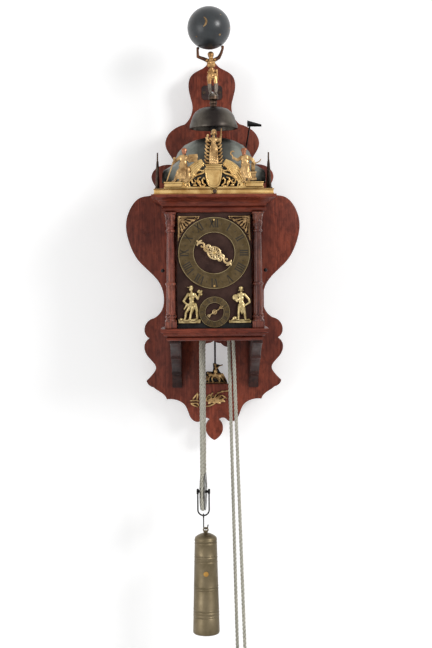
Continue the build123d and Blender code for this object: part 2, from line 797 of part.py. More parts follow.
# Centre figure on the pedestal: robe, torso, head and a spray of leaves behind
figure_y = -(fret_depth + 4)
seated_y = -(fret_face + 1.5)
centre_limbs = limbs([
    ((-3, figure_y, pedestal_top + 5), (-2, figure_y, pedestal_top + 34), 5.4, 5),
    ((3, figure_y, pedestal_top + 5), (2, figure_y, pedestal_top + 34), 5.4, 5),
    ((0, figure_y, pedestal_top + 32), (0, figure_y, pedestal_top + 50), 6.2, 6),
    ((0, figure_y, pedestal_top + 52), (0, figure_y, pedestal_top + 60.5), 2.6, 4.8),
    ((-6, figure_y, pedestal_top + 49), (-9, figure_y, pedestal_top + 36), 2.4, 2),
    ((6, figure_y, pedestal_top + 49), (9, figure_y, pedestal_top + 36), 2.4, 2),
])
with BuildPart() as centre_figure:
    with BuildSketch(front(fret_depth)):
        with BuildLine():
            Polyline((-9, pedestal_top), (9, pedestal_top), (14.5, pedestal_top + 12),
                     (14.5, pedestal_top + 42), (10, pedestal_top + 58),
                     (-10, pedestal_top + 58), (-14.5, pedestal_top + 42),
                     (-14.5, pedestal_top + 12), close=True)
        make_face()
    extrude(amount=2)
    add(centre_limbs)
    split(bisect_by=front(fret_depth), keep=Keep.TOP)
    split(bisect_by=Plane.XY.offset(pedestal_top), keep=Keep.TOP)
finish(centre_figure, "centre_figure")

# Seated figures on the band at each side
seat = band_top
left_limbs = limbs([
    ((-60, seated_y, seat + 5), (-53, seated_y, seat + 26), 8, 6.5),
    ((-66, seated_y, seat + 4), (-62, seated_y, seat + 15), 6, 6),
    ((-53, seated_y, seat + 26), (-50, seated_y, seat + 42), 6.5, 6),
    ((-48, seated_y, seat + 46), (-47, seated_y, seat + 54.5), 2.4, 4.8),
    ((-52, seated_y, seat + 42), (-62, seated_y, seat + 33), 2.6, 2.2),
    ((-46, seated_y, seat + 40), (-34, seated_y, seat + 38), 2.5, 2),
    ((-63, seated_y, seat + 36), (-76, seated_y, seat + 2), 1.1, 1.1),
])
right_limbs = limbs([
    ((58, seated_y, seat + 5), (50, seated_y, seat + 26), 8, 6.5),
    ((64, seated_y, seat + 5), (58, seated_y, seat + 16), 6.5, 6),
    ((50, seated_y, seat + 26), (51, seated_y, seat + 42), 6.5, 6.5),
    ((52, seated_y, seat + 46), (52.5, seated_y, seat + 54), 2.4, 4.8),
    ((47, seated_y, seat + 41), (31, seated_y, seat + 46), 2.6, 1.9),
    ((56, seated_y, seat + 41), (72, seated_y, seat + 35), 2.5, 1.9),
    ((72, seated_y, seat + 35), (83, seated_y, seat + 41), 1.5, 1.2),
])
with BuildPart() as seated_figures:
    with BuildSketch(front(fret_face)):
        with Locations((-60, seat + 4), (60, seat + 4)):
            Rectangle(30, 16)
        with Locations((-31.5, seat + 38)):
            Rectangle(13, 10.5)
    extrude(amount=2.5)
    add(left_limbs)
    add(right_limbs)
    split(bisect_by=front(fret_face), keep=Keep.TOP)
    split(bisect_by=Plane.XY.offset(seat - 4), keep=Keep.TOP)
finish(seated_figures, "seated_figures")

# Side frets: a pierced crest with a spike, standing on the side runs of the brass bar
side_fret_x = brass_half_width + 0.6
fret_rear = -(brass_depth - 8)
fret_shape = [(0, 0), (0.03, 0.2), (0.2, 0.24), (0.3, 0.42), (0.38, 0.6), (0.47, 0.76), (0.49, 1),
              (0.51, 1), (0.53, 0.76), (0.62, 0.6), (0.7, 0.42), (0.8, 0.24), (0.97, 0.2), (1, 0)]
with BuildPart() as side_frets:
    for side in (-1, 1):
        with BuildSketch(Plane((side * side_fret_x, fret_rear, fret_bottom), x_dir=(0, side, 0),
                               z_dir=(side, 0, 0))):
            with BuildLine():
                Polyline(*[(side * run * side_fret_length, rise * side_fret_height)
                           for run, rise in fret_shape], close=True)
            make_face()
            with Locations(*[(side * run * side_fret_length, 0.3 * side_fret_height)
                             for run in (0.35, 0.65)]):
                Ellipse(9, 6, mode=Mode.SUBTRACT)
            with Locations((side * 0.5 * side_fret_length, 0.42 * side_fret_height)):
                Ellipse(6, 10, mode=Mode.SUBTRACT)
        extrude(amount=fret_thickness)
finish(side_frets, "side_frets")

# Bells: each wall is the turned outer line and the same line moved in by the wall
bell_axis = Axis((bell_x, -bell_depth, 0), (0, 0, 1))
bell_plane = Plane((bell_x, -bell_depth, 0), x_dir=(1, 0, 0), z_dir=(0, -1, 0))


def bell(outer, bore):
    """A bell from the points of its outer line, from the crown down to the lip."""
    inner = [(radius - (bell_wall if index > 1 else 0), level - (bell_wall if index < 5 else 0))
             for index, (radius, level) in enumerate(outer)]
    with BuildPart() as piece:
        with BuildSketch(bell_plane):
            with BuildLine():
                Line(outer[0], outer[1])
                Spline(*outer[1:-1], tangents=((1, 0), (0, -1)))
                Polyline(outer[-2], outer[-1], inner[-1], inner[-2])
                Spline(*reversed(inner[1:-1]), tangents=((0, 1), (-1, 0)))
                Polyline(inner[1], inner[0], outer[0])
            make_face()
        revolve(axis=bell_axis)
        with Locations((bell_x, -bell_depth, outer[0][1])):
            Cylinder(bore, 6 * bell_wall, mode=Mode.SUBTRACT)
    return piece


big_outline = [(0, big_bell_top), (0.1 * big_bell_radius, big_bell_top),
               (0.4 * big_bell_radius, big_bell_top - 5), (0.58 * big_bell_radius, big_bell_top - 13),
               (0.7 * big_bell_radius, big_bell_top - 26),
               (0.765 * big_bell_radius, big_bell_top - 41),
               (0.87 * big_bell_radius, big_bell_top - 51),
               (big_bell_radius, big_bell_top - 63), (big_bell_radius, big_bell_lip)]
small_outline = [(0, small_bell_top), (0.2 * small_bell_radius, small_bell_top),
                 (0.54 * small_bell_radius, small_bell_top - 3),
                 (0.75 * small_bell_radius, small_bell_top - 8.5),
                 (0.89 * small_bell_radius, small_bell_top - 18),
                 (small_bell_radius, small_bell_top - 34), (small_bell_radius, small_bell_lip)]
big_bell = bell(big_outline, stand_neck_radius + running_gap)
finish(big_bell, "big_bell")
small_bell = bell(small_outline, stand_tip_radius + running_gap)
finish(small_bell, "small_bell")

stand_steps = [(stand_radius, movement_top, big_bell_top - bell_wall),
               (stand_neck_radius, big_bell_top - bell_wall, small_bell_top - bell_wall),
               (stand_tip_radius, small_bell_top - bell_wall, socket_top - 6)]
with BuildPart() as bell_stand:
    for step_radius, step_low, step_high in stand_steps:
        with BuildSketch(Plane.XY.offset(step_low)):
            with Locations((bell_x, -bell_depth)):
                Circle(step_radius)
        extrude(amount=step_high - step_low)
finish(bell_stand, "bell_stand")

socket_turning = [(5.6, 0), (5.4, 0.28), (6.6, 0.36), (6.6, 0.5), (5.4, 0.6), (8.9, 0.74), (8.9, 1)]
socket_height = socket_top - small_bell_top
with BuildPart() as finial_socket:
    with BuildSketch(bell_plane):
        with BuildLine():
            Polyline((0, small_bell_top), *[(radius, small_bell_top + share * socket_height)
                                            for radius, share in socket_turning],
                     (0, socket_top), close=True)
        make_face()
    revolve(axis=bell_axis)
    with Locations((bell_x, -bell_depth, small_bell_top)):
        Cylinder(stand_tip_radius + running_gap, 2 * (socket_height - 6 + free_gap),
                 mode=Mode.SUBTRACT)
finish(finial_socket, "finial_socket")

# Figure that carries the globe, leaning a little to the left
lean = radians(finial_lean)


def leaning(x, y, share):
    """A place on the leaning figure, from its share of the height to the globe's centre."""
    height = share * globe_height
    return (bell_x + x * cos(lean) - height * sin(lean), -bell_depth + y,
            socket_top + height * cos(lean) + x * sin(lean))


atlas_limbs = limbs([
    (leaning(-4.5, -1, 0.0249), leaning(-5, -1, 0.1826), 2.6, 3.6),
    (leaning(-5, -1, 0.1826), leaning(-4, 0, 0.332), 3.6, 5),
    (leaning(5, -2, 0.0249), leaning(6, -2, 0.1826), 2.6, 3.6),
    (leaning(6, -2, 0.1826), leaning(4.5, 0, 0.332), 3.6, 5),
    (leaning(-1, 0, 0.332), leaning(-1, 0, 0.4315), 7, 6.6),
    (leaning(-1, 0, 0.4315), leaning(0, 0, 0.5228), 6.8, 6.2),
    (leaning(-6, 0, 0.5311), leaning(-19, -1, 0.6141), 3, 2.4),
    (leaning(-19, -1, 0.6141), leaning(-19, 0, 0.7095), 2.4, 2),
    (leaning(6, 0, 0.5311), leaning(21, -1, 0.6141), 3, 2.4),
    (leaning(21, -1, 0.6141), leaning(22, 0, 0.7178), 2.4, 2),
    (leaning(0, -1, 0.5477), leaning(0, -2, 0.6224), 3, 5.2),
])
globe_place = leaning(0, 0, 1)
with BuildPart() as atlas_figure:
    with BuildSketch(Plane.XY.offset(socket_top)):
        with Locations((bell_x, -bell_depth)):
            Ellipse(9, 8)
    extrude(amount=4)
    add(atlas_limbs)
    with Locations(globe_place):
        Sphere(globe_radius, mode=Mode.SUBTRACT)
finish(atlas_figure, "atlas_figure")

with BuildPart() as globe:
    with Locations(globe_place):
        Sphere(globe_radius)
finish(globe, "globe")

# Movement frame: two plates, four posts and three upright bars with pivot holes
shelf_plate_top = shelf_level + plate_thickness
plate_middle = -(plate_front_depth + plate_rear_depth) / 2
plate_length = plate_front_depth - plate_rear_depth
cock_y = -pendulum_depth + 5
lug_places = ((hour_hammer_x, bell_depth - 18), (hour_hammer_x, bell_depth + 18),
              (alarm_hammer_x, bell_depth - 18), (alarm_hammer_x, bell_depth + 18),
              (half_hour_hammer_x, plate_rear_depth + 2),
              (half_hour_hammer_x, plate_rear_depth + 20))
with BuildPart() as movement_plates:
    for level in (shelf_level, movement_top - plate_thickness):
        with BuildSketch(Plane.XY.offset(level)):
            with Locations((movement_x, plate_middle)):
                Rectangle(2 * plate_half_width, plate_length)
            if level == shelf_level:
                with Locations((left_rope_x, rope_middle), (right_rope_x, rope_middle)):
                    SlotOverall(rope_slot_size[1], rope_slot_size[0], rotation=90,
                                mode=Mode.SUBTRACT)
        extrude(amount=plate_thickness)
    with BuildSketch(Plane.XY.offset(movement_top - plate_thickness)):
        with Locations((movement_x, (cock_y - plate_rear_depth - 2) / 2)):
            Rectangle(12, cock_y + plate_rear_depth + 2)
    extrude(amount=plate_thickness)
    with BuildSketch(front(-cock_y)):
        with Locations((movement_x, (movement_top + anchor_level - 6) / 2)):
            Rectangle(12, movement_top - anchor_level + 6)
    extrude(amount=3)
    with BuildSketch(front(pendulum_depth - 4)):
        with Locations((movement_x, anchor_level)):
            Circle(arbor_radius)
    extrude(amount=8)
    for lug_x, lug_depth in lug_places:
        with BuildSketch(front(lug_depth - 1.5)):
            with Locations((lug_x, (movement_top + hammer_level + 4) / 2)):
                Rectangle(8, hammer_level + 4 - movement_top)
            with Locations((lug_x, hammer_level)):
                Circle(arbor_radius + running_gap, mode=Mode.SUBTRACT)
        extrude(amount=3)
finish(movement_plates, "movement_plates")

bar_height = movement_top - plate_thickness - shelf_plate_top
second_level = great_level + (great_teeth + pinion_leaves) * great_module / 2
escape_level = (second_level + second_teeth * second_module / 2
                + escape_leaves * second_module / 2 + mesh_opening)
train_pivots = [(movement_x, great_level, great_arbor_radius), (movement_x, second_level, arbor_radius),
                (movement_x, escape_level, arbor_radius), (movement_x, anchor_level, arbor_radius)]
bar_pivots = [train_pivots + [(0, chapter_level, hour_arbor_radius)], train_pivots, train_pivots]
with BuildPart() as movement_bars:
    for post_side in (-1, 1):
        for post_depth in (plate_front_depth - post_size / 2, plate_rear_depth + post_size / 2):
            with Locations((movement_x + post_side * (plate_half_width - post_size / 2),
                            -post_depth, (movement_top - plate_thickness + shelf_plate_top) / 2)):
                Box(post_size, post_size, bar_height)
    for bar_depth, pivots in zip(bar_depths, bar_pivots):
        with BuildSketch(front(bar_depth)):
            with Locations((movement_x, (movement_top - plate_thickness + shelf_plate_top) / 2)):
                Rectangle(bar_width, bar_height)
            for pivot_x, pivot_level, pivot_radius in pivots:
                with Locations((pivot_x, pivot_level)):
                    Circle(pivot_radius + running_gap, mode=Mode.SUBTRACT)
        extrude(amount=bar_thickness)
    with BuildSketch(front(plate_front_depth)):
        for post_side in (-1, 1):
            with Locations(*[(movement_x + post_side * (plate_half_width - post_size / 2), level)
                             for level in (movement_top - 12, shelf_level + 12)]):
                Circle(dial_foot_radius)
    extrude(amount=dial_depth - plate_front_depth)
finish(movement_bars, "movement_bars")

front_bar_face = bar_depths[0] + bar_thickness


def sprocket(depth, rope_line):
    """A grooved rope wheel on the great arbor."""
    groove = rope_line - rope_radius - free_gap
    flange = rope_line + 1.5
    half = sprocket_width / 2
    with BuildPart() as piece:
        with BuildSketch(Plane((movement_x, 0, great_level), x_dir=(1, 0, 0), z_dir=(0, 0, 1))):
            with BuildLine():
                Polyline((0, -depth - half), (flange, -depth - half),
                         (flange, -depth - rope_side), (rope_line - 1.6, -depth - rope_side),
                         (groove, -depth - rope_radius / 2), (groove, -depth + rope_radius / 2),
                         (rope_line - 1.6, -depth + rope_side), (flange, -depth + rope_side),
                         (flange, -depth + half), (0, -depth + half), close=True)
            make_face()
        revolve(axis=Axis((movement_x, 0, great_level), (0, 1, 0)))
    return piece.part


def great_wheel(depth, wheel_depth, rope_line, teeth, module, start, end, pinion_depth=None):
    """A great wheel with its rope sprocket and arbor, and a report pinion if one is given."""
    pulley = sprocket(depth, rope_line)
    wheel = crossed_wheel(teeth, module, 8, 3.5, 90)
    shaft = arbor(movement_x, great_level, start, end, great_arbor_radius)
    report = toothed_face(pinion_leaves, report_module)
    collar = arbor(movement_x, great_level, min(depth, wheel_depth), max(depth, wheel_depth), 6)
    with BuildPart() as piece:
        add(shaft)
        add(pulley)
        add(collar)
        with BuildSketch(front(wheel_depth)):
            with Locations((movement_x, great_level)):
                add(wheel)
        extrude(amount=wheel_thickness)
        if pinion_depth:
            with BuildSketch(front(pinion_depth)):
                with Locations((movement_x, great_level)):
                    add(report)
            extrude(amount=5)
    return piece


report_depth = front_bar_face + 1
going_great_wheel = great_wheel(going_depth, going_depth + 10, going_sprocket_radius, great_teeth,
                                great_module, bar_depths[1] + 1, report_depth + 5, report_depth)
finish(going_great_wheel, "going_great_wheel")
strike_great_wheel = great_wheel(striking_depth, striking_depth + 10, striking_sprocket_radius,
                                 striking_teeth, striking_module, bar_depths[2] + 0.5,
                                 bar_depths[1] + 0.5)
finish(strike_great_wheel, "strike_great_wheel")


def train_wheel(level, wheel_depth, teeth, module, pinion_depth, pinion_module, leaves, start, end):
    """An arbor with a crossed wheel and a pinion whose leaves stand between the driver's teeth."""
    wheel = crossed_wheel(teeth, module, 5, 2.2, 90)
    pinion = toothed_face(leaves, pinion_module, 270 + 180 / leaves)
    shaft = arbor(movement_x, level, start, end, arbor_radius)
    with BuildPart() as piece:
        add(shaft)
        with BuildSketch(front(wheel_depth)):
            with Locations((movement_x, level)):
                add(wheel)
        extrude(amount=wheel_thickness / 2)
        with BuildSketch(front(pinion_depth)):
            with Locations((movement_x, level)):
                add(pinion)
        extrude(amount=wheel_thickness + 3)
    return piece


second_wheel = train_wheel(second_level, going_depth + 22, second_teeth, second_module,
                           going_depth + 8.5, great_module, pinion_leaves, bar_depths[1] + 2.3,
                           bar_depths[0] + 3)
finish(second_wheel, "second_wheel")
pin_wheel = train_wheel(second_level, striking_depth + 17.5, pin_wheel_teeth, striking_module,
                        striking_depth + 8.5, striking_module, pinion_leaves, bar_depths[2] + 0.5,
                        bar_depths[1] + 1.7)
finish(pin_wheel, "pin_wheel")

# Escape wheel: long raked teeth, with a pinion that stands clear of the second wheel
escape_shaft = arbor(movement_x, escape_level, bar_depths[1] + 2.3, bar_depths[0] + 3, arbor_radius)
escape_pinion = toothed_face(escape_leaves, second_module)
with BuildPart() as escape_wheel:
    add(escape_shaft)
    with BuildSketch(front(going_depth + 27)):
        with Locations((movement_x, escape_level)):
            Circle(0.8 * escape_radius)
            Circle(0.62 * escape_radius, mode=Mode.SUBTRACT)
            Rectangle(1.4 * escape_radius, 2.5)
            Rectangle(2.5, 1.4 * escape_radius)
            Circle(3.5)
            with PolarLocations(0, escape_teeth, start_angle=6):
                Polygon((0.76 * escape_radius, -1.6), (escape_radius, 0.7), (escape_radius, 1.1),
                        (0.76 * escape_radius, 1.2), align=None)
    extrude(amount=1.6)
    with BuildSketch(front(going_depth + 20.5)):
        with Locations((movement_x, escape_level)):
            add(escape_pinion)
    extrude(amount=4)
finish(escape_wheel, "escape_wheel")

# Anchor: arbor, two pallets and the crutch that reaches through the board to the rod
anchor_shaft = arbor(movement_x, anchor_level, pendulum_depth + 12, bar_depths[0] + 3, arbor_radius)
pallet_level = escape_level + escape_radius + 1.2
crutch_low = anchor_level - 40
with BuildPart() as anchor:
    add(anchor_shaft)
    with BuildSketch(front(going_depth + 26.6)):
        with BuildLine():
            Polyline((movement_x - 13, pallet_level - 4.5), (movement_x - 10, pallet_level - 1.2),
                     (movement_x - 3.6, anchor_level - 3), (movement_x + 3.6, anchor_level - 3),
                     (movement_x + 10, pallet_level - 1.2), (movement_x + 13, pallet_level - 4.5),
                     (movement_x + 12.6, pallet_level + 1.6), (movement_x + 3.6, anchor_level + 3.4),
                     (movement_x - 3.6, anchor_level + 3.4), (movement_x - 12.6, pallet_level + 1.6),
                     close=True)
        make_face()
    extrude(amount=2.6)
    with BuildSketch(front(pendulum_depth + 12)):
        with Locations((movement_x, anchor_level)):
            Circle(4)
        with Locations((movement_x, (anchor_level + crutch_low) / 2)):
            Rectangle(3, anchor_level - crutch_low)
        with Locations((movement_x, crutch_low)):
            Rectangle(2 * (rod_radius + free_gap) + 5, 4)
    extrude(amount=2)
    for prong in (-1, 1):
        with BuildSketch(front(pendulum_depth - 3)):
            with Locations((movement_x + prong * (rod_radius + free_gap + 1.25), crutch_low)):
                Rectangle(2.5, 4)
        extrude(amount=16)
finish(anchor, "anchor")

# Fly: two vanes on an arbor at the top of the striking train
fly_shaft = arbor(movement_x, escape_level, bar_depths[2] + 0.5, bar_depths[1] + 1.7, arbor_radius)
fly_pinion = toothed_face(escape_leaves, striking_module)
with BuildPart() as fly:
    add(fly_shaft)
    with Locations((movement_x, -(striking_depth - 10), escape_level)):
        Box(30, 15, 1)
    with BuildSketch(front(striking_depth + 16.5)):
        with Locations((movement_x, escape_level)):
            add(fly_pinion)
    extrude(amount=4)
finish(fly, "fly")

# Hour wheel on its own arbor in front of the front bar, in mesh with the report pinion
mesh_angle = degrees(atan2(great_level - chapter_level, movement_x))
hour_face = crossed_wheel(hour_teeth, report_module, 7, 5, mesh_angle + 180 / hour_teeth)
hour_shaft = arbor(0, chapter_level, bar_depths[0] + 0.5, hour_hand_depth - free_gap,
                   hour_arbor_radius)
hour_tip = arbor(0, chapter_level, hour_hand_depth - 4, hour_hand_depth + hour_hand_thickness + 1.2,
                 hour_arbor_radius - 1)
with BuildPart() as hour_wheel:
    add(hour_shaft)
    add(hour_tip)
    with BuildSketch(front(report_depth + 1.5)):
        with Locations((0, chapter_level)):
            add(hour_face)
    extrude(amount=2.2)
finish(hour_wheel, "hour_wheel")

# Hammers: each swings on an arbor in two lugs on the movement's top plate
head_radius = 5.3


def hammer(x, depth_from, depth_to, arms, head_start, head_end):
    """A hammer: arbor, jointed stem and a round head."""
    shaft = arbor(x, hammer_level, depth_from, depth_to, arbor_radius)
    stem = limbs(arms)
    head_axis = Vector(*head_end) - Vector(*head_start)
    with BuildPart() as piece:
        add(shaft)
        add(stem)
        with BuildSketch(Plane(origin=head_start, z_dir=head_axis)):
            Circle(head_radius)
        extrude(amount=head_axis.length)
    return piece


stem_y = -(board_thickness + 6)
half_hour_hammer = hammer(
    half_hour_hammer_x, board_thickness + 3, plate_rear_depth + 22,
    [((half_hour_hammer_x, stem_y, hammer_level), (62.5, stem_y, -97), 1.4, 1.4),
     ((62.5, stem_y, -97), (66.5, -99, -69), 1.4, 1.4)],
    (61.5, -100, -66.5), (86.5, -100, -66.5))
finish(half_hour_hammer, "half_hour_hammer")
hour_hammer = hammer(
    hour_hammer_x, bell_depth - 20, bell_depth + 20,
    [((hour_hammer_x, -bell_depth, hammer_level), (-66, -bell_depth, -163), 1.5, 1.5)],
    (-60, -bell_depth, -161), (-78, -bell_depth, -161))
finish(hour_hammer, "hour_hammer")
alarm_hammer = hammer(
    alarm_hammer_x, bell_depth - 20, bell_depth + 20,
    [((alarm_hammer_x, -bell_depth, hammer_level), (66, -bell_depth, -163), 1.5, 1.5)],
    (58, -bell_depth, -161), (80, -bell_depth, -161))
finish(alarm_hammer, "alarm_hammer")

# Pendulum behind the board, hanging on the cock's pin
bob_top = bob_level + 22
rod_foot = bob_level + 8
with BuildPart() as pendulum_rod:
    with BuildSketch(front(pendulum_depth - 2)):
        with Locations((movement_x, anchor_level)):
            Circle(5)
            Circle(arbor_radius + running_gap, mode=Mode.SUBTRACT)
        with Locations((movement_x, (anchor_level - 4 + rod_foot) / 2)):
            Rectangle(2 * rod_radius, anchor_level - 4 - rod_foot)
    extrude(amount=3.2)
finish(pendulum_rod, "pendulum_rod")

bob_x = movement_x
with BuildPart() as rider_bob:
    with BuildSketch(front(pendulum_depth - bob_thickness / 2)):
        with BuildLine():
            Spline((bob_x - 17, bob_level - 14), (bob_x - 15, bob_level + 2),
                   (bob_x - 4, bob_level + 4), (bob_x + 8, bob_level + 5),
                   (bob_x + 14, bob_level - 3), (bob_x + 23, bob_level - 13))
            Polyline((bob_x + 23, bob_level - 13), (bob_x + 14, bob_level - 16),
                     (bob_x - 4, bob_level - 15), (bob_x - 17, bob_level - 14))
        make_face()
        with Locations((bob_x, bob_level + 11)):
            Ellipse(5, 10)
        with Locations((bob_x + 2, bob_level + 19)):
            Circle(3.4)
        with Locations((bob_x + 7, bob_level + 19)):
            Rectangle(12, 2.4, rotation=6)
        with Locations((bob_x, (rod_foot + bob_top + 2) / 2)):
            Rectangle(2 * rod_radius, bob_top + 2 - rod_foot, mode=Mode.SUBTRACT)
    extrude(amount=bob_thickness)
finish(rider_bob, "rider_bob")

# Brass leaf on the board under the window
leaf_level = -566
with BuildPart() as leaf_ornament:
    with BuildSketch(front(board_thickness)):
        with BuildLine() as leaf_stem:
            Spline((-40, leaf_level + 3), (-22, leaf_level - 4), (0, leaf_level - 8),
                   (16, leaf_level - 2), (27, leaf_level + 14))
        trace(leaf_stem.line, 2.4)
        with Locations((4, leaf_level - 5)):
            Ellipse(15, 6.5, rotation=8)
        with Locations((-14, leaf_level - 9)):
            Ellipse(10, 3.2, rotation=-24)
        with Locations((-24, leaf_level + 2)):
            Ellipse(9, 3, rotation=-50)
        with Locations((19, leaf_level + 6)):
            Ellipse(8, 3, rotation=50)
    extrude(amount=2)
finish(leaf_ornament, "leaf_ornament")

# Rope over both sprockets, down to the pulley on the left and to the ring on the right.
# Each arc round a sprocket or pulley is a little under that thing's own radius.
arc_share = 0.97
rope_left_front = movement_x - going_sprocket_radius
rope_left_rear = movement_x - striking_sprocket_radius
rope_right_front = movement_x + going_sprocket_radius
rope_right_rear = movement_x + striking_sprocket_radius
going_top = great_level + going_sprocket_radius
striking_top = great_level + striking_sprocket_radius
strand_gap = hypot(rope_left_rear - rope_left_front, going_depth - striking_depth)
sheave_pitch = strand_gap / 2
sheave_low = sheave_level - sheave_pitch
ring_gap = hypot(ring_front[0] - ring_rear[0], ring_front[1] - ring_rear[1])
ring_low = ring_rope_level - ring_gap / 2

going_start = (movement_x, -going_depth, going_top)
striking_end = (movement_x, -striking_depth, striking_top)
weight_route = [going_start, (rope_left_front, -going_depth, going_top),
                (rope_left_front, -going_depth, sheave_low),
                (rope_left_rear, -striking_depth, sheave_low),
                (rope_left_rear, -striking_depth, striking_top), striking_end]
weight_radii = [going_sprocket_radius, sheave_pitch, sheave_pitch, striking_sprocket_radius]
counter_route = [going_start, (rope_right_front, -going_depth, going_top),
                 (*ring_front, ring_low), (*ring_rear, ring_low),
                 (rope_right_rear, -striking_depth, striking_top), striking_end]
counter_radii = [going_sprocket_radius, ring_gap / 2, ring_gap / 2, striking_sprocket_radius]


def rope(route, radii):
    """A rope along straight runs joined by tangent arcs."""
    with BuildPart() as piece:
        with BuildLine() as line:
            FilletPolyline(*route, radius=[arc_share * radius for radius in radii])
        with BuildSketch(Plane(origin=line.line @ 0, z_dir=line.line % 0)):
            Circle(rope_radius)
        sweep(path=line.wires()[0])
    length = line.wires()[0].length
    print(f"rope: length {length:.1f}, radii {[round(arc_share * radius, 1) for radius in radii]},"
          f" volume share {piece.part.volume / (pi * rope_radius ** 2 * length):.4f}")
    return piece


weight_rope = rope(weight_route, weight_radii)
finish(weight_rope, "weight_rope")
counter_rope = rope(counter_route, counter_radii)
finish(counter_rope, "counter_rope")

# Weight pulley, turned so that its groove meets both strands
sheave_x = (rope_left_front + rope_left_rear) / 2
sheave_y = -(going_depth + striking_depth) / 2
axle_dir = Vector(going_depth - striking_depth, rope_left_front - rope_left_rear, 0).normalized()
along = Plane((sheave_x, sheave_y, sheave_level), x_dir=axle_dir,
              z_dir=axle_dir.cross(Vector(0, 0, 1)))
across = Plane((sheave_x, sheave_y, sheave_level), x_dir=(0, 0, 1), z_dir=axle_dir)
groove_radius = sheave_pitch - rope_radius - free_gap
with BuildPart() as weight_sheave:
    with BuildSketch(along):
        with BuildLine():
            half = sheave_width / 2
            side = rope_radius + free_gap
            Polyline((-half, axle_radius + running_gap), (-half, sheave_radius),
                     (-side, sheave_radius), (-side, sheave_pitch - rope_radius / 2),
                     (-rope_radius / 2, groove_radius), (rope_radius / 2, groove_radius),
                     (side, sheave_pitch - rope_radius / 2), (side, sheave_radius),
                     (half, sheave_radius), (half, axle_radius + running_gap), close=True)
        make_face()
    revolve(axis=Axis((sheave_x, sheave_y, sheave_level), axle_dir))
    with BuildSketch(across):
        with PolarLocations(0.55 * sheave_radius, 6):
            Circle(0.15 * sheave_radius)
    extrude(amount=sheave_width, both=True, mode=Mode.SUBTRACT)
finish(weight_sheave, "weight_sheave")

with BuildPart() as weight_stirrup:
    with BuildLine(along) as stirrup_line:
        drop = stirrup_bottom - sheave_level
        Line((-stirrup_gap, 0), (-stirrup_gap, drop + stirrup_gap))
        ThreePointArc((-stirrup_gap, drop + stirrup_gap), (0, drop), (stirrup_gap, drop + stirrup_gap))
        Line((stirrup_gap, drop + stirrup_gap), (stirrup_gap, 0))
    with BuildSketch(Plane(origin=stirrup_line.line @ 0, z_dir=(0, 0, -1))):
        Circle(stirrup_wire)
    sweep(path=stirrup_line.wires()[0])
    with BuildSketch(across):
        Circle(axle_radius)
    extrude(amount=stirrup_gap + 2, both=True)
    for arm in (-1, 1):
        with BuildSketch(across.offset(arm * stirrup_gap - 1.7)):
            Circle(2 * axle_radius)
        extrude(amount=3.4)
finish(weight_stirrup, "weight_stirrup")

# Hook: a closed eye round the stirrup and an open hook through the eye of the weight
eye_level = stirrup_bottom + stirrup_wire + hook_wire + 0.15 - hook_radius
hook_low = weight_top + 6.2
hook_turn = hook_low + hook_radius
with BuildPart() as weight_hook:
    with Locations(Plane((sheave_x, sheave_y, eye_level), z_dir=axle_dir)):
        Torus(hook_radius, hook_wire)
    with BuildLine(Plane((sheave_x, sheave_y, 0), x_dir=(1, 0, 0), z_dir=(0, -1, 0))) as hook_line:
        Line((0, eye_level - hook_radius), (0, hook_turn))
        ThreePointArc((0, hook_turn), (hook_radius, hook_low), (2 * hook_radius, hook_turn))
        Line((2 * hook_radius, hook_turn), (2 * hook_radius + 0.6, hook_turn + 4))
    with BuildSketch(Plane(origin=hook_line.line @ 0, z_dir=(0, 0, -1))):
        Circle(hook_wire)
    sweep(path=hook_line.wires()[0])
finish(weight_hook, "weight_hook")

weight_x = sheave_x + hook_radius
weight_eye_wire = 1.2
weight_eye_radius = 4
weight_eye_level = hook_low + hook_wire + free_gap / 2 + weight_eye_wire - weight_eye_radius
with BuildPart() as weight:
    with BuildSketch(Plane((weight_x, sheave_y, 0), x_dir=(1, 0, 0), z_dir=(0, -1, 0))):
        with BuildLine():
            Polyline((0, weight_bottom), (weight_bottom_radius - 1, weight_bottom),
                     (weight_bottom_radius, weight_bottom + 1),
                     (weight_top_radius, weight_shoulder), (weight_top_radius - 1.5, weight_shoulder + 1.5))
            ThreePointArc((weight_top_radius - 1.5, weight_shoulder + 1.5),
                          (0.55 * weight_top_radius, weight_top - 2.6), (weight_neck, weight_top - 1))
            Polyline((weight_neck, weight_top - 1), (weight_neck, weight_top), (0, weight_top),
                     (0, weight_bottom))
        make_face()
    revolve(axis=Axis((weight_x, sheave_y, 0), (0, 0, 1)))
    with Locations(Plane((weight_x, sheave_y, weight_eye_level), z_dir=(1, 0, 0))):
        Torus(weight_eye_radius, weight_eye_wire)
finish(weight, "weight")

# Counterweight: a ring that hangs in the bight of the right-hand rope
ring_middle = ((ring_front[0] + ring_rear[0]) / 2, (ring_front[1] + ring_rear[1]) / 2)
with BuildPart(Plane((*ring_middle, ring_rope_level - ring_radius),
                     z_dir=(ring_front[0] - ring_rear[0], ring_front[1] - ring_rear[1], 0))) \
        as counterweight:
    Torus(ring_radius, ring_wire)
finish(counterweight, "counterweight")
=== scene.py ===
"""Dresses the bell clock in wood, brass, velvet and rope, and lights it in a white studio."""

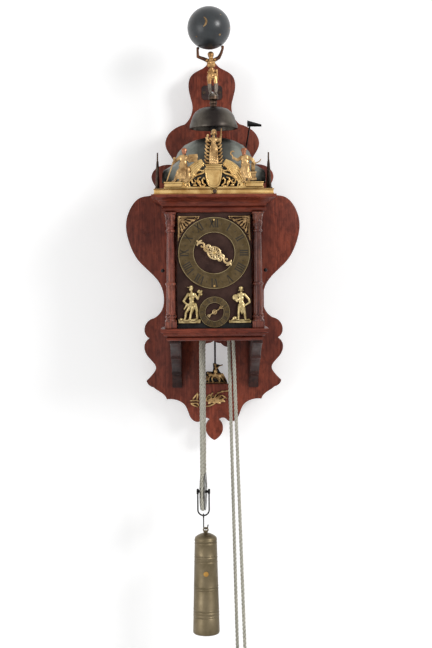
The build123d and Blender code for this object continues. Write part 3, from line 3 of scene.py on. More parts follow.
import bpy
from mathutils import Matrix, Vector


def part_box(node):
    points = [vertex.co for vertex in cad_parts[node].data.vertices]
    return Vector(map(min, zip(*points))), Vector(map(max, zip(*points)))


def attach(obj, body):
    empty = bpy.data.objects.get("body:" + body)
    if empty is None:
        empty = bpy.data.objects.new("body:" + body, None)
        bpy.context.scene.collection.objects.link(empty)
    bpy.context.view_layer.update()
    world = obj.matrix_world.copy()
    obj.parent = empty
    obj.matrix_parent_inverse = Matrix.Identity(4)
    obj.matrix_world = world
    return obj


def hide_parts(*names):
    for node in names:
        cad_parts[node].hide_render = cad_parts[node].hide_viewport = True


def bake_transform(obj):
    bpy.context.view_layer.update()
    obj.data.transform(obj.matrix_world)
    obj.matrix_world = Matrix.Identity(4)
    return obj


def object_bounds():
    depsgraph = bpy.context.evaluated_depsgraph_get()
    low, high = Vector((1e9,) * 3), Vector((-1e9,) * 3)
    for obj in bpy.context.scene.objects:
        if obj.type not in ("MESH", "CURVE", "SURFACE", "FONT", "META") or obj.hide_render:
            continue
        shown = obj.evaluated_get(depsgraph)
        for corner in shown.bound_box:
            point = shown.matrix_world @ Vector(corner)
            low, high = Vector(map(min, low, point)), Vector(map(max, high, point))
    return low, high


bl_info = {
    "name": "Bell Clock",
    "version": (1, 0, 0),
    "blender": (4, 5, 0),
    "location": "View3D > Sidebar > Clock",
    "description": "Builds the visible pieces of a weight-driven bell clock round its fixed frame",
    "category": "Object",
}

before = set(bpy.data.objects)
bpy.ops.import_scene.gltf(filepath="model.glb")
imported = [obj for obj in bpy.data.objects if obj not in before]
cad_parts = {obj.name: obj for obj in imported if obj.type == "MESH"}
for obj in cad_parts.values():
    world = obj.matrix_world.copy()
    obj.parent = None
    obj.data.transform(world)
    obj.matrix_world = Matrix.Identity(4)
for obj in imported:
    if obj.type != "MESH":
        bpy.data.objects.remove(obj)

from contextlib import contextmanager
from math import atan2, cos, hypot, pi, radians, sin

import bpy
from bpy.props import FloatProperty, FloatVectorProperty, IntProperty, PointerProperty
from mathutils import Matrix, Vector

frame_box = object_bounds()
MM = 0.001

# Places that several pieces share, in millimetres from the frame's origin; a depth is a
# distance in front of the board's rear
AXIS_DEPTH = 112
BELL_X, WEIGHT_X = 1.5, -17.5
SOCKET_TOP, BAR_TOP, BAR_SCREW_Z = -18.8, -188.4, -193.2
DIAL_Z, ALARM_Z = -296.9, -397.1
VELVET_FACE, FRET_REAR, SEAT_REAR = 198, 208.6, 211.9
FACING = (0, -1, 0)


def shade(red, green, blue):
    """A colour as the eye sees it, from 0 to 255, turned into the shader's scale."""
    return tuple(((v / 255 + 0.055) / 1.055) ** 2.4 if v > 10 else v / 255 / 12.92
                 for v in (red, green, blue))


def colour(name, description, *value):
    return FloatVectorProperty(name=name, description=description, subtype="COLOR", size=3,
                               min=0, max=1, default=shade(*value))


def length(name, description, value):
    return FloatProperty(name=name, description=description, unit="LENGTH", subtype="DISTANCE",
                         default=value * MM, min=0)


class ClockWood(bpy.types.PropertyGroup):
    """Colours and edges of the wood."""
    base: colour("Mahogany", "Main colour of the board and the case", 126, 59, 44)
    dark: colour("Dark grain", "Colour of the darkest grain", 62, 22, 15)
    light: colour("Light grain", "Colour of the lightest grain", 168, 84, 58)
    column: colour("Columns", "Colour of the paler turned columns", 122, 56, 42)
    bracket: colour("Brackets", "Colour of the darkened brackets", 58, 33, 29)
    easing: length("Easing", "Width of the rounding on wooden edges", 0.9)


class ClockMetal(bpy.types.PropertyGroup):
    """Colours of the metals."""
    brass: colour("Brass", "Polished brass", 218, 184, 124)
    brass_dull: colour("Dull brass", "Brass where the polish has gone", 172, 134, 80)
    # dirt and painted shade in the hollows of the brass
    brass_dirt: colour("Brass hollows", "Dirt in the hollows of the brass", 46, 28, 12)
    ring: colour("Dial rings", "Olive brass of the dial rings", 96, 81, 58)
    weight: colour("Weight", "Aged brass of the weight", 120, 108, 86)
    iron: colour("Iron", "Blackened iron", 44, 43, 43)
    bell: colour("Bells", "Grey bronze of the bells", 128, 130, 122)
    gilt: colour("Gilding", "Gilding of the globe's bearer", 190, 150, 100)


class ClockRope(bpy.types.PropertyGroup):
    """The ropes."""
    fibre: colour("Fibre", "Colour of the rope", 196, 192, 178)
    thickness: length("Thickness", "Diameter of the whole rope", 6.4)
    pitch: length("Pitch", "Length of one turn of a strand", 22)
    strands: IntProperty(name="Strands", description="Number of strands", default=3, min=2, max=4)


class ClockStudio(bpy.types.PropertyGroup):
    """Lights of the studio."""
    sky: FloatProperty(name="Sky", description="Strength of the light from all round",
                       default=0.5, min=0)
    key: FloatProperty(name="Key light", description="Power of the main light in watts",
                       default=37, min=0)
    fill: FloatProperty(name="Fill light", description="Power of the second light in watts",
                        default=20, min=0)


class ClockSettings(bpy.types.PropertyGroup):
    """All the settings of the clock."""
    wood: PointerProperty(type=ClockWood)
    metal: PointerProperty(type=ClockMetal)
    rope: PointerProperty(type=ClockRope)
    studio: PointerProperty(type=ClockStudio)


def settings():
    return bpy.context.scene.bell_clock


# Handling of pieces


def clear():
    if bpy.context.mode != "OBJECT":
        bpy.ops.object.mode_set(mode="OBJECT")
    bpy.ops.object.select_all(action="DESELECT")


def take(*pieces):
    """Selects these pieces and makes the last one active."""
    clear()
    for piece in pieces:
        piece.select_set(True)
    bpy.context.view_layer.objects.active = pieces[-1]
    return pieces[-1]


def joined(*pieces):
    take(*pieces)
    if len(pieces) > 1:
        bpy.ops.object.join()
    return bpy.context.object


def worked(piece, kind, **values):
    """Adds a modifier to the piece and applies it."""
    take(piece)
    modifier = piece.modifiers.new("Work", kind)
    for key, value in values.items():
        setattr(modifier, key, value)
    bpy.ops.object.modifier_apply(modifier=modifier.name)
    return piece


def settled(piece):
    """Moves the piece's place, turn and size into its mesh."""
    take(piece)
    bpy.ops.object.transform_apply(location=True, rotation=True, scale=True)
    return piece


@contextmanager
def editing(piece):
    """Edit mode with the whole of one piece selected."""
    take(piece)
    bpy.ops.object.mode_set(mode="EDIT")
    bpy.ops.mesh.select_all(action="SELECT")
    yield
    bpy.ops.object.mode_set(mode="OBJECT")


def cleaned(piece, gap=0.00001):
    """Merges doubles and turns every face outwards."""
    with editing(piece):
        bpy.ops.mesh.remove_doubles(threshold=gap)
        bpy.ops.mesh.normals_make_consistent(inside=False)
    return piece


def shown(piece, name, body, slot, finish, replaces=(), smooth=35):
    """Names a finished piece, gives it its finish and hangs it on its body."""
    settled(piece)
    piece.name = name
    piece.data.name = name
    if smooth:
        bpy.ops.object.shade_smooth_by_angle(angle=radians(smooth))
    piece.data.materials.clear()
    piece.data.materials.append(bpy.data.materials[finish])
    if replaces:
        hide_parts(*replaces)
    if body:
        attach(piece, body)
    return piece


def paint(finish, *nodes):
    """Gives pieces of the frame their finish."""
    for node in nodes:
        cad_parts[node].data.materials.clear()
        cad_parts[node].data.materials.append(bpy.data.materials[finish])


# Ways of making a shape, all in millimetres


def drawn(lines, closed=False, kind="POLY", resolution=6, **values):
    """A curve with one run for each line of points; a fourth number is the thickness there."""
    clear()
    bpy.ops.curve.primitive_bezier_curve_add(location=(0, 0, 0))
    piece = bpy.context.object
    curve = piece.data
    curve.splines.clear()
    curve.dimensions = "3D"
    for line in lines:
        run = curve.splines.new(kind)
        run.points.add(len(line) - 1)
        for spot, place in zip(run.points, line):
            spot.co = (place[0] * MM, place[1] * MM, place[2] * MM, 1)
            spot.radius = place[3] if len(place) > 3 else 1
        run.use_cyclic_u = closed
        if kind == "NURBS":
            run.order_u = 3
            run.use_endpoint_u = not closed
            run.resolution_u = resolution
    for key, value in values.items():
        setattr(curve, key, value)
    return piece


def meshed(piece):
    take(piece)
    bpy.ops.object.convert(target="MESH")
    return bpy.context.object


def cut_out(outlines, depth, thick, edge=0.3):
    """A flat piece sawn from sheet: outlines of (x, z) points, the inner ones holes."""
    piece = drawn([[(x, z, 0) for x, z in outline] for outline in outlines], closed=True)
    curve = piece.data
    curve.dimensions = "2D"
    curve.fill_mode = "BOTH"
    curve.extrude = (thick / 2 - edge) * MM
    curve.bevel_depth = edge * MM
    curve.bevel_resolution = 1
    curve.offset = -edge * MM
    piece = meshed(piece)
    piece.rotation_euler = (pi / 2, 0, 0)
    piece.location = (0, -(depth + thick / 2) * MM, 0)
    return cleaned(settled(piece))


def block(near, far, low, high, depth, thick, edge=0.6):
    """A flat rectangle from near to far and from low to high."""
    return cut_out([[(near, low), (near, high), (far, high), (far, low)]], depth, thick, edge)


def wire(lines, thickness, flat, depth, closed=False):
    """Round bars along (x, z, share of the thickness) lines, squeezed towards the board."""
    piece = meshed(drawn([[(x, 0, z, share) for x, z, share in line] for line in lines],
                         closed=closed, kind="NURBS", bevel_depth=thickness / 2 * MM,
                         bevel_resolution=3, use_fill_caps=True))
    piece.scale = (1, flat, 1)
    piece.location = (0, -depth * MM, 0)
    return cleaned(settled(piece))


def turned(profile, centre, steps=96, axis=(0, 0, 1)):
    """A turned shape from (radius, height) points round an axis through the centre."""
    x, depth, z = centre
    piece = meshed(drawn([[(radius, 0, height) for radius, height in profile]]))
    with editing(piece):
        bpy.ops.mesh.spin(steps=steps, angle=2 * pi, center=(0, 0, 0), axis=(0, 0, 1))
    cleaned(piece, 0.000005)
    piece.rotation_mode = "QUATERNION"
    piece.rotation_quaternion = Vector((0, 0, 1)).rotation_difference(Vector(axis))
    piece.location = (x * MM, -depth * MM, z * MM)
    return settled(piece)


def clay(lumps, grain, rounds, front_of=None, plump=1, depth=0):
    """A figure built up like clay from lumps, fused and smoothed.

    A lump is a ball (x, depth, z, radius), an oval (x, depth, z, three radii, turn)
    or a tapered limb (x, depth, z, radius, x, depth, z, radius). Their depths count from the
    depth given, and front_of cuts off what lies behind it.
    """
    lumps = [(lump[0], depth + lump[1], lump[2], lump[3] * plump, lump[4], depth + lump[5],
              lump[6], lump[7] * plump) if len(lump) == 8 else
             (lump[0], depth + lump[1], lump[2], *(r * plump for r in lump[3:6]), *lump[6:])
             for lump in lumps]
    clear()
    x, y, z = lumps[0][:3]
    bpy.ops.mesh.primitive_ico_sphere_add(subdivisions=1, radius=0.0001,
                                          location=(x * MM, -y * MM, z * MM))
    piece = settled(bpy.context.object)
    bpy.ops.object.mode_set(mode="EDIT")
    for lump in lumps:
        place = Vector((lump[0], -lump[1], lump[2])) * MM
        if len(lump) == 4:
            bpy.ops.mesh.primitive_uv_sphere_add(segments=14, ring_count=9,
                                                 radius=lump[3] * MM, location=place)
        elif len(lump) == 7:
            bpy.ops.mesh.primitive_uv_sphere_add(
                segments=14, ring_count=9, radius=MM, location=place,
                rotation=(0, radians(-lump[6]), 0), scale=lump[3:6])
        else:
            end = Vector((lump[4], -lump[5], lump[6])) * MM
            run = end - place
            turn = Vector((0, 0, 1)).rotation_difference(run).to_euler()
            bpy.ops.mesh.primitive_cone_add(vertices=14, radius1=lump[3] * MM,
                                            radius2=lump[7] * MM, depth=run.length,
                                            location=(place + end) / 2, rotation=turn)
            for spot, radius in ((place, lump[3]), (end, lump[7])):
                bpy.ops.mesh.primitive_uv_sphere_add(segments=12, ring_count=8,
                                                     radius=radius * MM, location=spot)
    bpy.ops.object.mode_set(mode="OBJECT")
    worked(piece, "REMESH", mode="VOXEL", voxel_size=grain * MM)
    worked(piece, "SMOOTH", factor=0.6, iterations=rounds)
    if front_of is not None:
        with editing(piece):
            bpy.ops.mesh.bisect(plane_co=(0, -front_of * MM, 0), plane_no=(0, 1, 0),
                                use_fill=True, clear_outer=True)
    return piece


def eased(node, width):
    """A piece of the frame with its edges rounded over."""
    piece = bpy.data.objects.new(node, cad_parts[node].data.copy())
    bpy.context.scene.collection.objects.link(piece)
    with editing(piece):
        bpy.ops.mesh.remove_doubles(threshold=0.00001)
        bpy.ops.mesh.dissolve_limited(angle_limit=radians(0.5))
    return worked(piece, "BEVEL", width=width * MM, segments=2, limit_method="ANGLE",
                  angle_limit=radians(30), use_clamp_overlap=True, harden_normals=False)


# Finishes


class Recipe:
    """Lays out the nodes of one finish."""

    def __init__(self, name):
        self.material = bpy.data.materials.new(name)
        self.material.use_nodes = True
        self.tree = self.material.node_tree
        self.shader = self.tree.nodes["Principled BSDF"]
        self.place = self.node("ShaderNodeTexCoord").outputs["Object"]

    def node(self, kind, inputs=(), **values):
        node = self.tree.nodes.new(kind)
        for key, value in values.items():
            setattr(node, key, value)
        for key, value in dict(inputs).items():
            self.put(node.inputs[key], value)
        return node

    def put(self, socket, value):
        if isinstance(value, bpy.types.NodeSocket):
            self.tree.links.new(value, socket)
        elif socket.type == "RGBA" and len(value) == 3:
            socket.default_value = (*value, 1)
        else:
            socket.default_value = value

    def noise(self, scale, detail=4, stretch=(1, 1, 1), rough=0.55, twist=0):
        mapped = self.node("ShaderNodeMapping", {"Vector": self.place, "Scale": stretch})
        return self.node("ShaderNodeTexNoise", {
            "Vector": mapped.outputs[0], "Scale": scale, "Detail": detail, "Roughness": rough,
            "Distortion": twist}).outputs["Fac"]

    def ramp(self, value, *stops):
        node = self.node("ShaderNodeValToRGB", {"Fac": value})
        marks = node.color_ramp.elements
        while len(marks) < len(stops):
            marks.new(0.5)
        for mark, (place, tone) in zip(marks, stops):
            mark.position = place
            mark.color = (tone, tone, tone, 1) if isinstance(tone, (int, float)) else (*tone, 1)
        return node.outputs["Color"]

    def mix(self, share, first, second, blend="MIX"):
        node = self.node("ShaderNodeMix", data_type="RGBA", blend_type=blend)
        for key, value in ((0, share), (6, first), (7, second)):
            self.put(node.inputs[key], value)
        return node.outputs[2]

    def hollows(self, reach):
        """White in the open and dark in the hollows of a carved or cast shape: the mask for the
        painted shade, and on metal also the dirt, in the hollows.
        """
        return self.node("ShaderNodeAmbientOcclusion", {"Distance": reach * MM},
                         samples=8).outputs["AO"]

    def bump(self, height, strength, distance):
        self.put(self.shader.inputs["Normal"], self.node("ShaderNodeBump", {
            "Height": height, "Strength": strength, "Distance": distance * MM}).outputs[0])

    def set(self, **values):
        for key, value in values.items():
            self.put(self.shader.inputs[key.replace("_", " ")], value)


def wooden(name, base, dark, light, grain, gloss=0.3, coat=0.06, reach=6):
    """Waxed wood with its grain along X, Y or Z, and painted shade in its hollows."""
    recipe = Recipe(name)
    along = {"X": (0.05, 1, 1), "Y": (1, 0.05, 1), "Z": (1, 1, 0.05)}[grain]
    figure = recipe.noise(26, 3, along, 0.5, 0.6)
    lines = recipe.noise(330, 6, along, 0.65, 0.3)
    pores = recipe.noise(1500, 2, along, 0.6)
    cloud = recipe.noise(9, 3)
    mottle = recipe.noise(150, 5, tuple(min(step + 0.45, 1) for step in along), 0.6)
    tone = recipe.ramp(lines, (0.28, dark), (0.52, base), (0.82, light))
    for pattern, low, high, other in (
            (figure, (0.35, 0.65), (0.62, 0), dark), (cloud, (0.42, 0), (0.7, 0.4), light),
            (mottle, (0.36, 0.55), (0.54, 0), dark), (pores, (0.3, 0.75), (0.42, 0), dark),
            # painted shade: the wood turns to its dark grain colour in hollows, grooves and corners
            (recipe.hollows(reach), (0.4, 0.85), (0.88, 0), dark)):
        tone = recipe.mix(recipe.ramp(pattern, low, high), tone, other)
    recipe.set(Base_Color=tone, Specular_IOR_Level=0.15, Coat_Weight=coat, Coat_Roughness=0.12,
               Roughness=recipe.ramp(recipe.noise(60, 4), (0.3, gloss - 0.06), (0.7, gloss + 0.16)))
    recipe.bump(lines, 0.25, 0.12)


def metallic(name, bright, dull, hollow_dirt_and_shade_colour, rough, reach=2.5, patch=60, metal=1, open_at=0.9):
    """Metal with dull patches, dirt and painted shade in its hollows, and fine scratches."""
    recipe = Recipe(name)
    blotch = recipe.noise(patch, 5, rough=0.6)
    tone = recipe.mix(recipe.ramp(blotch, (0.38, 0), (0.66, 1)), bright, dull)
    # dirt and painted shade: the colour turns towards the hollow colour where the shape is closed
    # in
    hollow_dirt_and_shade_mask = recipe.ramp(recipe.hollows(reach), (open_at - 0.5, 1), (open_at, 0))
    recipe.set(Base_Color=recipe.mix(hollow_dirt_and_shade_mask, tone, hollow_dirt_and_shade_colour), Metallic=metal,
               Roughness=recipe.ramp(blotch, (0.3, rough - 0.06), (0.7, rough + 0.14)))
    recipe.bump(recipe.noise(900, 3), 0.2, 0.06)
    return recipe


def painted_bell_reflection_band(recipe, middle, reach, dark, *stops):
    """A painted dark reflection and shadow that runs up and down a bell, by the distance sideways
    from its middle.
    """
    side = recipe.node("ShaderNodeSeparateXYZ", {"Vector": recipe.place}).outputs["X"]
    away = recipe.node("ShaderNodeMath", {0: side, 1: middle * MM}, operation="SUBTRACT")
    away = recipe.node("ShaderNodeMath", {0: away.outputs[0]}, operation="ABSOLUTE")
    away = recipe.node("ShaderNodeMapRange", {"Value": away.outputs[0], "From Max": reach * MM})
    socket = recipe.shader.inputs["Base Color"]
    recipe.put(socket, recipe.mix(recipe.ramp(away.outputs[0], *stops),
                                  socket.links[0].from_socket, dark))


# Name, main, dark and light colour as a setting or from 0 to 255, grain, gloss, coat and how
# far out of a hollow its painted shade reaches
WOODS = (
    ("upright mahogany", "base", "dark", "light", "Z"),
    ("level mahogany", "base", "dark", "light", "X"),
    ("side mahogany", "base", "dark", "light", "Y"),
    ("column wood", "column", (46, 18, 14), (204, 128, 98), "Z", 0.2, 0.4, 2.6),
    ("bracket wood", "bracket", (28, 17, 16), (84, 50, 42), "Z", 0.4),
    ("bare wood", (150, 118, 84), (104, 76, 50), (182, 150, 110), "Z", 0.6),
)
# Name, bright, dull, and hollow colour (dirt and painted shade) in the same way, roughness, how far
# out of a hollow the dirt and painted shade reach, scale of the patches, share of metal, and how
# open a clean place is
METALS = (
    ("bright brass", "brass", "brass_dull", "brass_dirt", 0.26, 2.2),
    ("relief brass", (200, 164, 114), (116, 86, 54), (30, 16, 8), 0.3, 5, 60, 1, 0.97),
    ("figure brass", (208, 188, 138), (126, 106, 66), (28, 18, 8), 0.3, 4, 60, 1, 0.96),
    ("worn brass", (166, 136, 96), (96, 74, 50), (30, 18, 10), 0.4, 4, 60, 1, 0.95),
    ("bronzed heads", (168, 112, 84), (104, 68, 54), (34, 18, 12), 0.4, 3, 60, 1, 0.97),
    ("bronzed arms", (104, 70, 52), (64, 44, 36), "brass_dirt", 0.4, 2.5),
    ("grey bronze", (136, 124, 112), (84, 76, 70), "brass_dirt", 0.4, 2.5),
    ("dark brass", (88, 72, 60), (56, 43, 38), (18, 13, 12), 0.42, 3),
    ("ring brass", "ring", (76, 63, 42), (34, 27, 18), 0.42, 1.5, 90),
    ("weight brass", "weight", (100, 89, 68), (52, 44, 32), 0.42, 1.5, 30),
    ("gear brass", (190, 160, 100), (140, 112, 66), "brass_dirt", 0.3),
    ("gilding", "gilt", (140, 102, 64), (60, 34, 20), 0.32, 3.5, 60, 1, 0.95),
    ("bell bronze", "bell", (88, 90, 84), (36, 34, 30), 0.42, 3, 22),
    ("small bell bronze", (98, 92, 84), (58, 53, 48), (26, 24, 22), 0.34, 3, 34),
    ("black iron", "iron", (30, 29, 29), (14, 13, 13), 0.5, 3, 80, 0.8),
    ("rusted iron", (58, 38, 34), (40, 28, 27), (16, 12, 12), 0.6, 3, 80, 0.4),
    ("bright iron", (120, 118, 112), (80, 78, 74), (30, 29, 28), 0.36, 2, 80),
    ("hand metal", (206, 182, 138), (150, 124, 84), (40, 30, 20), 0.32, 1.6),
    # painted highlight: the raised rims get a paler brass than the face of the ring
    ("rim brass", (190, 172, 132), (140, 122, 86), (44, 38, 26), 0.3, 1),
    ("copper", (190, 146, 78), (150, 110, 58), (80, 50, 30), 0.3),
    ("engraving", (20, 17, 12), (18, 16, 12), (8, 8, 7), 0.75, 1, 60, 0),
)


class CLOCK_OT_finishes(bpy.types.Operator):
    """Mix the finishes of wood, metal, rope, cloth, paint and glass"""
    bl_idname = "clock.finishes"
    bl_label = "Finishes"

    def execute(self, context):
        mixed = {}
        for mix, group, rows in ((wooden, settings().wood, WOODS),
                                 (metallic, settings().metal, METALS)):
            for name, *row in rows:
                colours = [getattr(group, value)[:] if isinstance(value, str) else shade(*value)
                           for value in row[:3]]
                mixed[name] = mix(name, *colours, *row[3:])
        # painted dark reflection and shadow in a band down the middle of each bell
        painted_bell_reflection_band(mixed["bell bronze"], BELL_X, 92, shade(34, 30, 28),
                 (0.1, 0.85), (0.3, 0.6), (0.4, 0), (0.8, 0), (0.97, 0.7))
        painted_bell_reflection_band(mixed["small bell bronze"], 3, 44, shade(30, 24, 26),
                 (0.1, 0.8), (0.34, 0.45), (0.6, 0), (0.8, 0), (1, 0.3))

        globe = Recipe("globe paint")
        streak = globe.noise(55, 5, rough=0.6)
        tone = globe.ramp(streak, (0.3, shade(24, 27, 30)), (0.6, shade(38, 43, 46)),
                          (0.85, shade(62, 66, 64)))
        globe.set(Base_Color=tone, Roughness=globe.ramp(streak, (0.3, 0.3), (0.7, 0.5)),
                  Specular_IOR_Level=0.35, Coat_Weight=0.4, Coat_Roughness=0.25)
        globe.bump(globe.noise(420, 4), 0.12, 0.15)

        cloth = Recipe("dial velvet")
        pile = cloth.noise(2600, 2)
        brushed = cloth.noise(40, 4, rough=0.6)
        cloth.set(Base_Color=cloth.mix(cloth.ramp(brushed, (0.35, 0), (0.7, 1)), shade(52, 37, 34),
                                       shade(74, 54, 48)), Roughness=0.95, Specular_IOR_Level=0.1)
        cloth.bump(pile, 0.5, 0.3)

        fibre = Recipe("rope fibre")
        tuft = fibre.noise(900, 4, (1, 1, 0.35))
        stain = fibre.noise(24, 4)
        tone = fibre.ramp(tuft, (0.25, shade(112, 108, 88)), (0.55, settings().rope.fibre[:]),
                          (0.85, shade(212, 208, 190)))
        tone = fibre.mix(fibre.ramp(stain, (0.4, 0), (0.65, 0.45)), tone, shade(174, 175, 162))
        # painted shade in the grooves between the strands
        strand_groove_shade_mask = fibre.ramp(fibre.hollows(1.6), (0.3, 0.85), (0.85, 0))
        fibre.set(Base_Color=fibre.mix(strand_groove_shade_mask, tone, shade(78, 72, 56)), Roughness=0.9,
                  Sheen_Weight=0.15)
        fibre.bump(tuft, 0.7, 0.35)

        pane = Recipe("window glass")
        pane.set(Base_Color=(0.96, 0.98, 0.97), Roughness=0.03, Transmission_Weight=1, IOR=1.45)
        pane.bump(pane.noise(14, 2), 0.06, 0.6)
        return {"FINISHED"}


# Studio


class CLOCK_OT_studio(bpy.types.Operator):
    """Set up the camera, the lights, the wall and the floor"""
    bl_idname = "clock.studio"
    bl_label = "Studio"

    def execute(self, context):
        studio = settings().studio
        scene = context.scene
        scene.view_settings.view_transform = "Standard"
        clear()
        bpy.ops.object.camera_add(location=(-0.024, -2.4, -0.331))
        camera = context.object
        turn = Matrix.Rotation(radians(-0.7), 4, "Z") @ Matrix.Rotation(radians(90), 4, "X")
        camera.rotation_euler = (turn @ Matrix.Rotation(radians(-0.42), 4, "Z")).to_euler()
        camera.data.shift_y = -0.0787
        camera.data.lens = 72.06
        camera.data.sensor_width = 36
        camera.data.clip_start, camera.data.clip_end = 0.05, 20
        scene.camera = camera

        for name, place, aim, size, power in (
                ("key", (2.0, -2.0, 0.75), (0, -0.1, -0.3), 0.8, studio.key),
                ("fill", (-2.2, -2.0, -0.5), (0, -0.1, -0.5), 1.6, studio.fill)):
            bpy.ops.object.light_add(type="AREA", location=place)
            lamp = context.object
            lamp.name = name
            lamp.data.size = size
            lamp.data.energy = power
            lamp.rotation_euler = (Vector(aim) - Vector(place)).to_track_quat("-Z", "Y").to_euler()

        world = scene.world or bpy.data.worlds.new("world")
        scene.world = world
        world.use_nodes = True
        nodes, links = world.node_tree.nodes, world.node_tree.links
        path = nodes.new("ShaderNodeLightPath")
        seen = nodes.new("ShaderNodeMath")
        seen.operation = "MAXIMUM"
        links.new(path.outputs["Is Camera Ray"], seen.inputs[0])
        links.new(path.outputs["Is Transmission Ray"], seen.inputs[1])
        level = nodes.new("ShaderNodeMapRange")
        level.inputs["To Min"].default_value = studio.sky
        level.inputs["To Max"].default_value = 1
        mirror = nodes.new("ShaderNodeMath")
        mirror.operation = "MAXIMUM"
        links.new(seen.outputs[0], mirror.inputs[0])
        links.new(path.outputs["Is Glossy Ray"], mirror.inputs[1])
        links.new(mirror.outputs[0], level.inputs["Value"])
        links.new(level.outputs[0], nodes["Background"].inputs["Strength"])
        nodes["Background"].inputs["Color"].default_value = (1, 1, 1, 1)

        clear()
        bpy.ops.mesh.primitive_plane_add(size=1, location=(0, 0, 0))
        wall = context.object
        wall.scale = (7, 5, 1)
        wall.rotation_euler = (pi / 2, 0, 0)
        wall.location = (0, 0.0262, 0.9)
        settled(wall)
        bpy.ops.object.mode_set(mode="EDIT")
        bpy.ops.mesh.select_all(action="DESELECT")
        bpy.ops.object.mode_set(mode="OBJECT")
        for edge in wall.data.edges:
            edge.select = all(wall.data.vertices[v].co.z < 0 for v in edge.vertices)
        bpy.ops.object.mode_set(mode="EDIT")
        bpy.ops.mesh.select_mode(type="EDGE")
        bpy.ops.mesh.extrude_region_move(TRANSFORM_OT_translate={"value": (0, -5, 0)})
        bpy.ops.object.mode_set(mode="OBJECT")
        worked(wall, "BEVEL", width=0.35, segments=8, limit_method="ANGLE")
        bpy.ops.object.shade_smooth()
        wall.name = "wall_and_floor"
        paper = Recipe("studio paper")
        paper.set(Base_Color=(0.8, 0.8, 0.8), Roughness=0.9)
        glow = paper.node("ShaderNodeLightPath").outputs
        seen = paper.node("ShaderNodeMath", {0: glow["Is Camera Ray"], 1: glow["Is Glossy Ray"]},
                          operation="MAXIMUM")
        seen = paper.node("ShaderNodeMath", {0: seen.outputs[0], 1: glow["Is Transmission Ray"]},
                          operation="MAXIMUM")
        paper.shader.inputs["Emission Color"].default_value = (1, 1, 1, 1)
        paper.put(paper.shader.inputs["Emission Strength"],
                  paper.node("ShaderNodeMath", {0: seen.outputs[0], 1: 0.36},
                             operation="MULTIPLY").outputs[0])
        wall.data.materials.append(paper.material)
        return {"FINISHED"}


# Wood


class CLOCK_OT_woodwork(bpy.types.Operator):
    """Round over the board, the mouldings, the brackets and the doors"""
    bl_idname = "clock.woodwork"
    bl_label = "Woodwork"

    def execute(self, context):
        easing = settings().wood.easing / MM
        for node, width, finish, slot in (
                ("backboard", 1.6 * easing, "upright mahogany", "mahogany"),
                ("case_top", 0.5, "level mahogany", "dark_wood"),
                ("cornice_moulding", 0.5, "level mahogany", "mahogany"),
                ("shelf", 0.6, "level mahogany", "mahogany"),
                ("corbel_left", easing, "bracket wood", "dark_wood"),
                ("corbel_right", easing, "bracket wood", "dark_wood"),
                ("wall_spacers", easing, "bare wood", "bare_wood")):
            shown(eased(node, width), node.replace("corbel", "bracket") + "_eased", "case", slot,
                  finish, [node])
        for side in ("left", "right"):
            shown(eased(f"door_{side}", easing), f"door_frame_{side}", f"door_{side}", "mahogany",
                  "upright mahogany", [f"door_{side}"])
            paint("window glass", f"door_glass_{side}")
        return {"FINISHED"}


# Base, middle ring and capital of a column as (radius, height above its foot)
COLUMN_PARTS = [
    [(0.1, 11.9), (9.6, 11.9), (9.9, 13.2), (9.4, 14.6), (8, 15.6), (7.6, 17), (8.6, 18),
    (8.9, 19), (8.4, 20.2), (7.4, 21.2), (7.3, 22.4), (8.3, 23), (8.5, 23.8), (8, 24.8),
    (6.6, 25.6), (0.1, 25.8)], [(0.1, 72), (6.8, 72), (7.2, 72.8), (8.4, 73.6), (9, 75.5),
    (8.4, 77.4), (7.2, 78.2), (6.4, 79), (0.1, 79)], [(0.1, 162.6), (5.9, 162.8), (7.4, 163.6),
    (7.9, 165.4), (7.4, 167), (6.2, 168), (6.1, 172), (6.6, 175), (7.7, 177.4), (8.4, 179.6),
    (7.6, 181), (6.9, 182.6), (7.2, 186), (8.4, 190), (9.3, 192.4), (9.3, 193.8), (0.1, 194)]
]


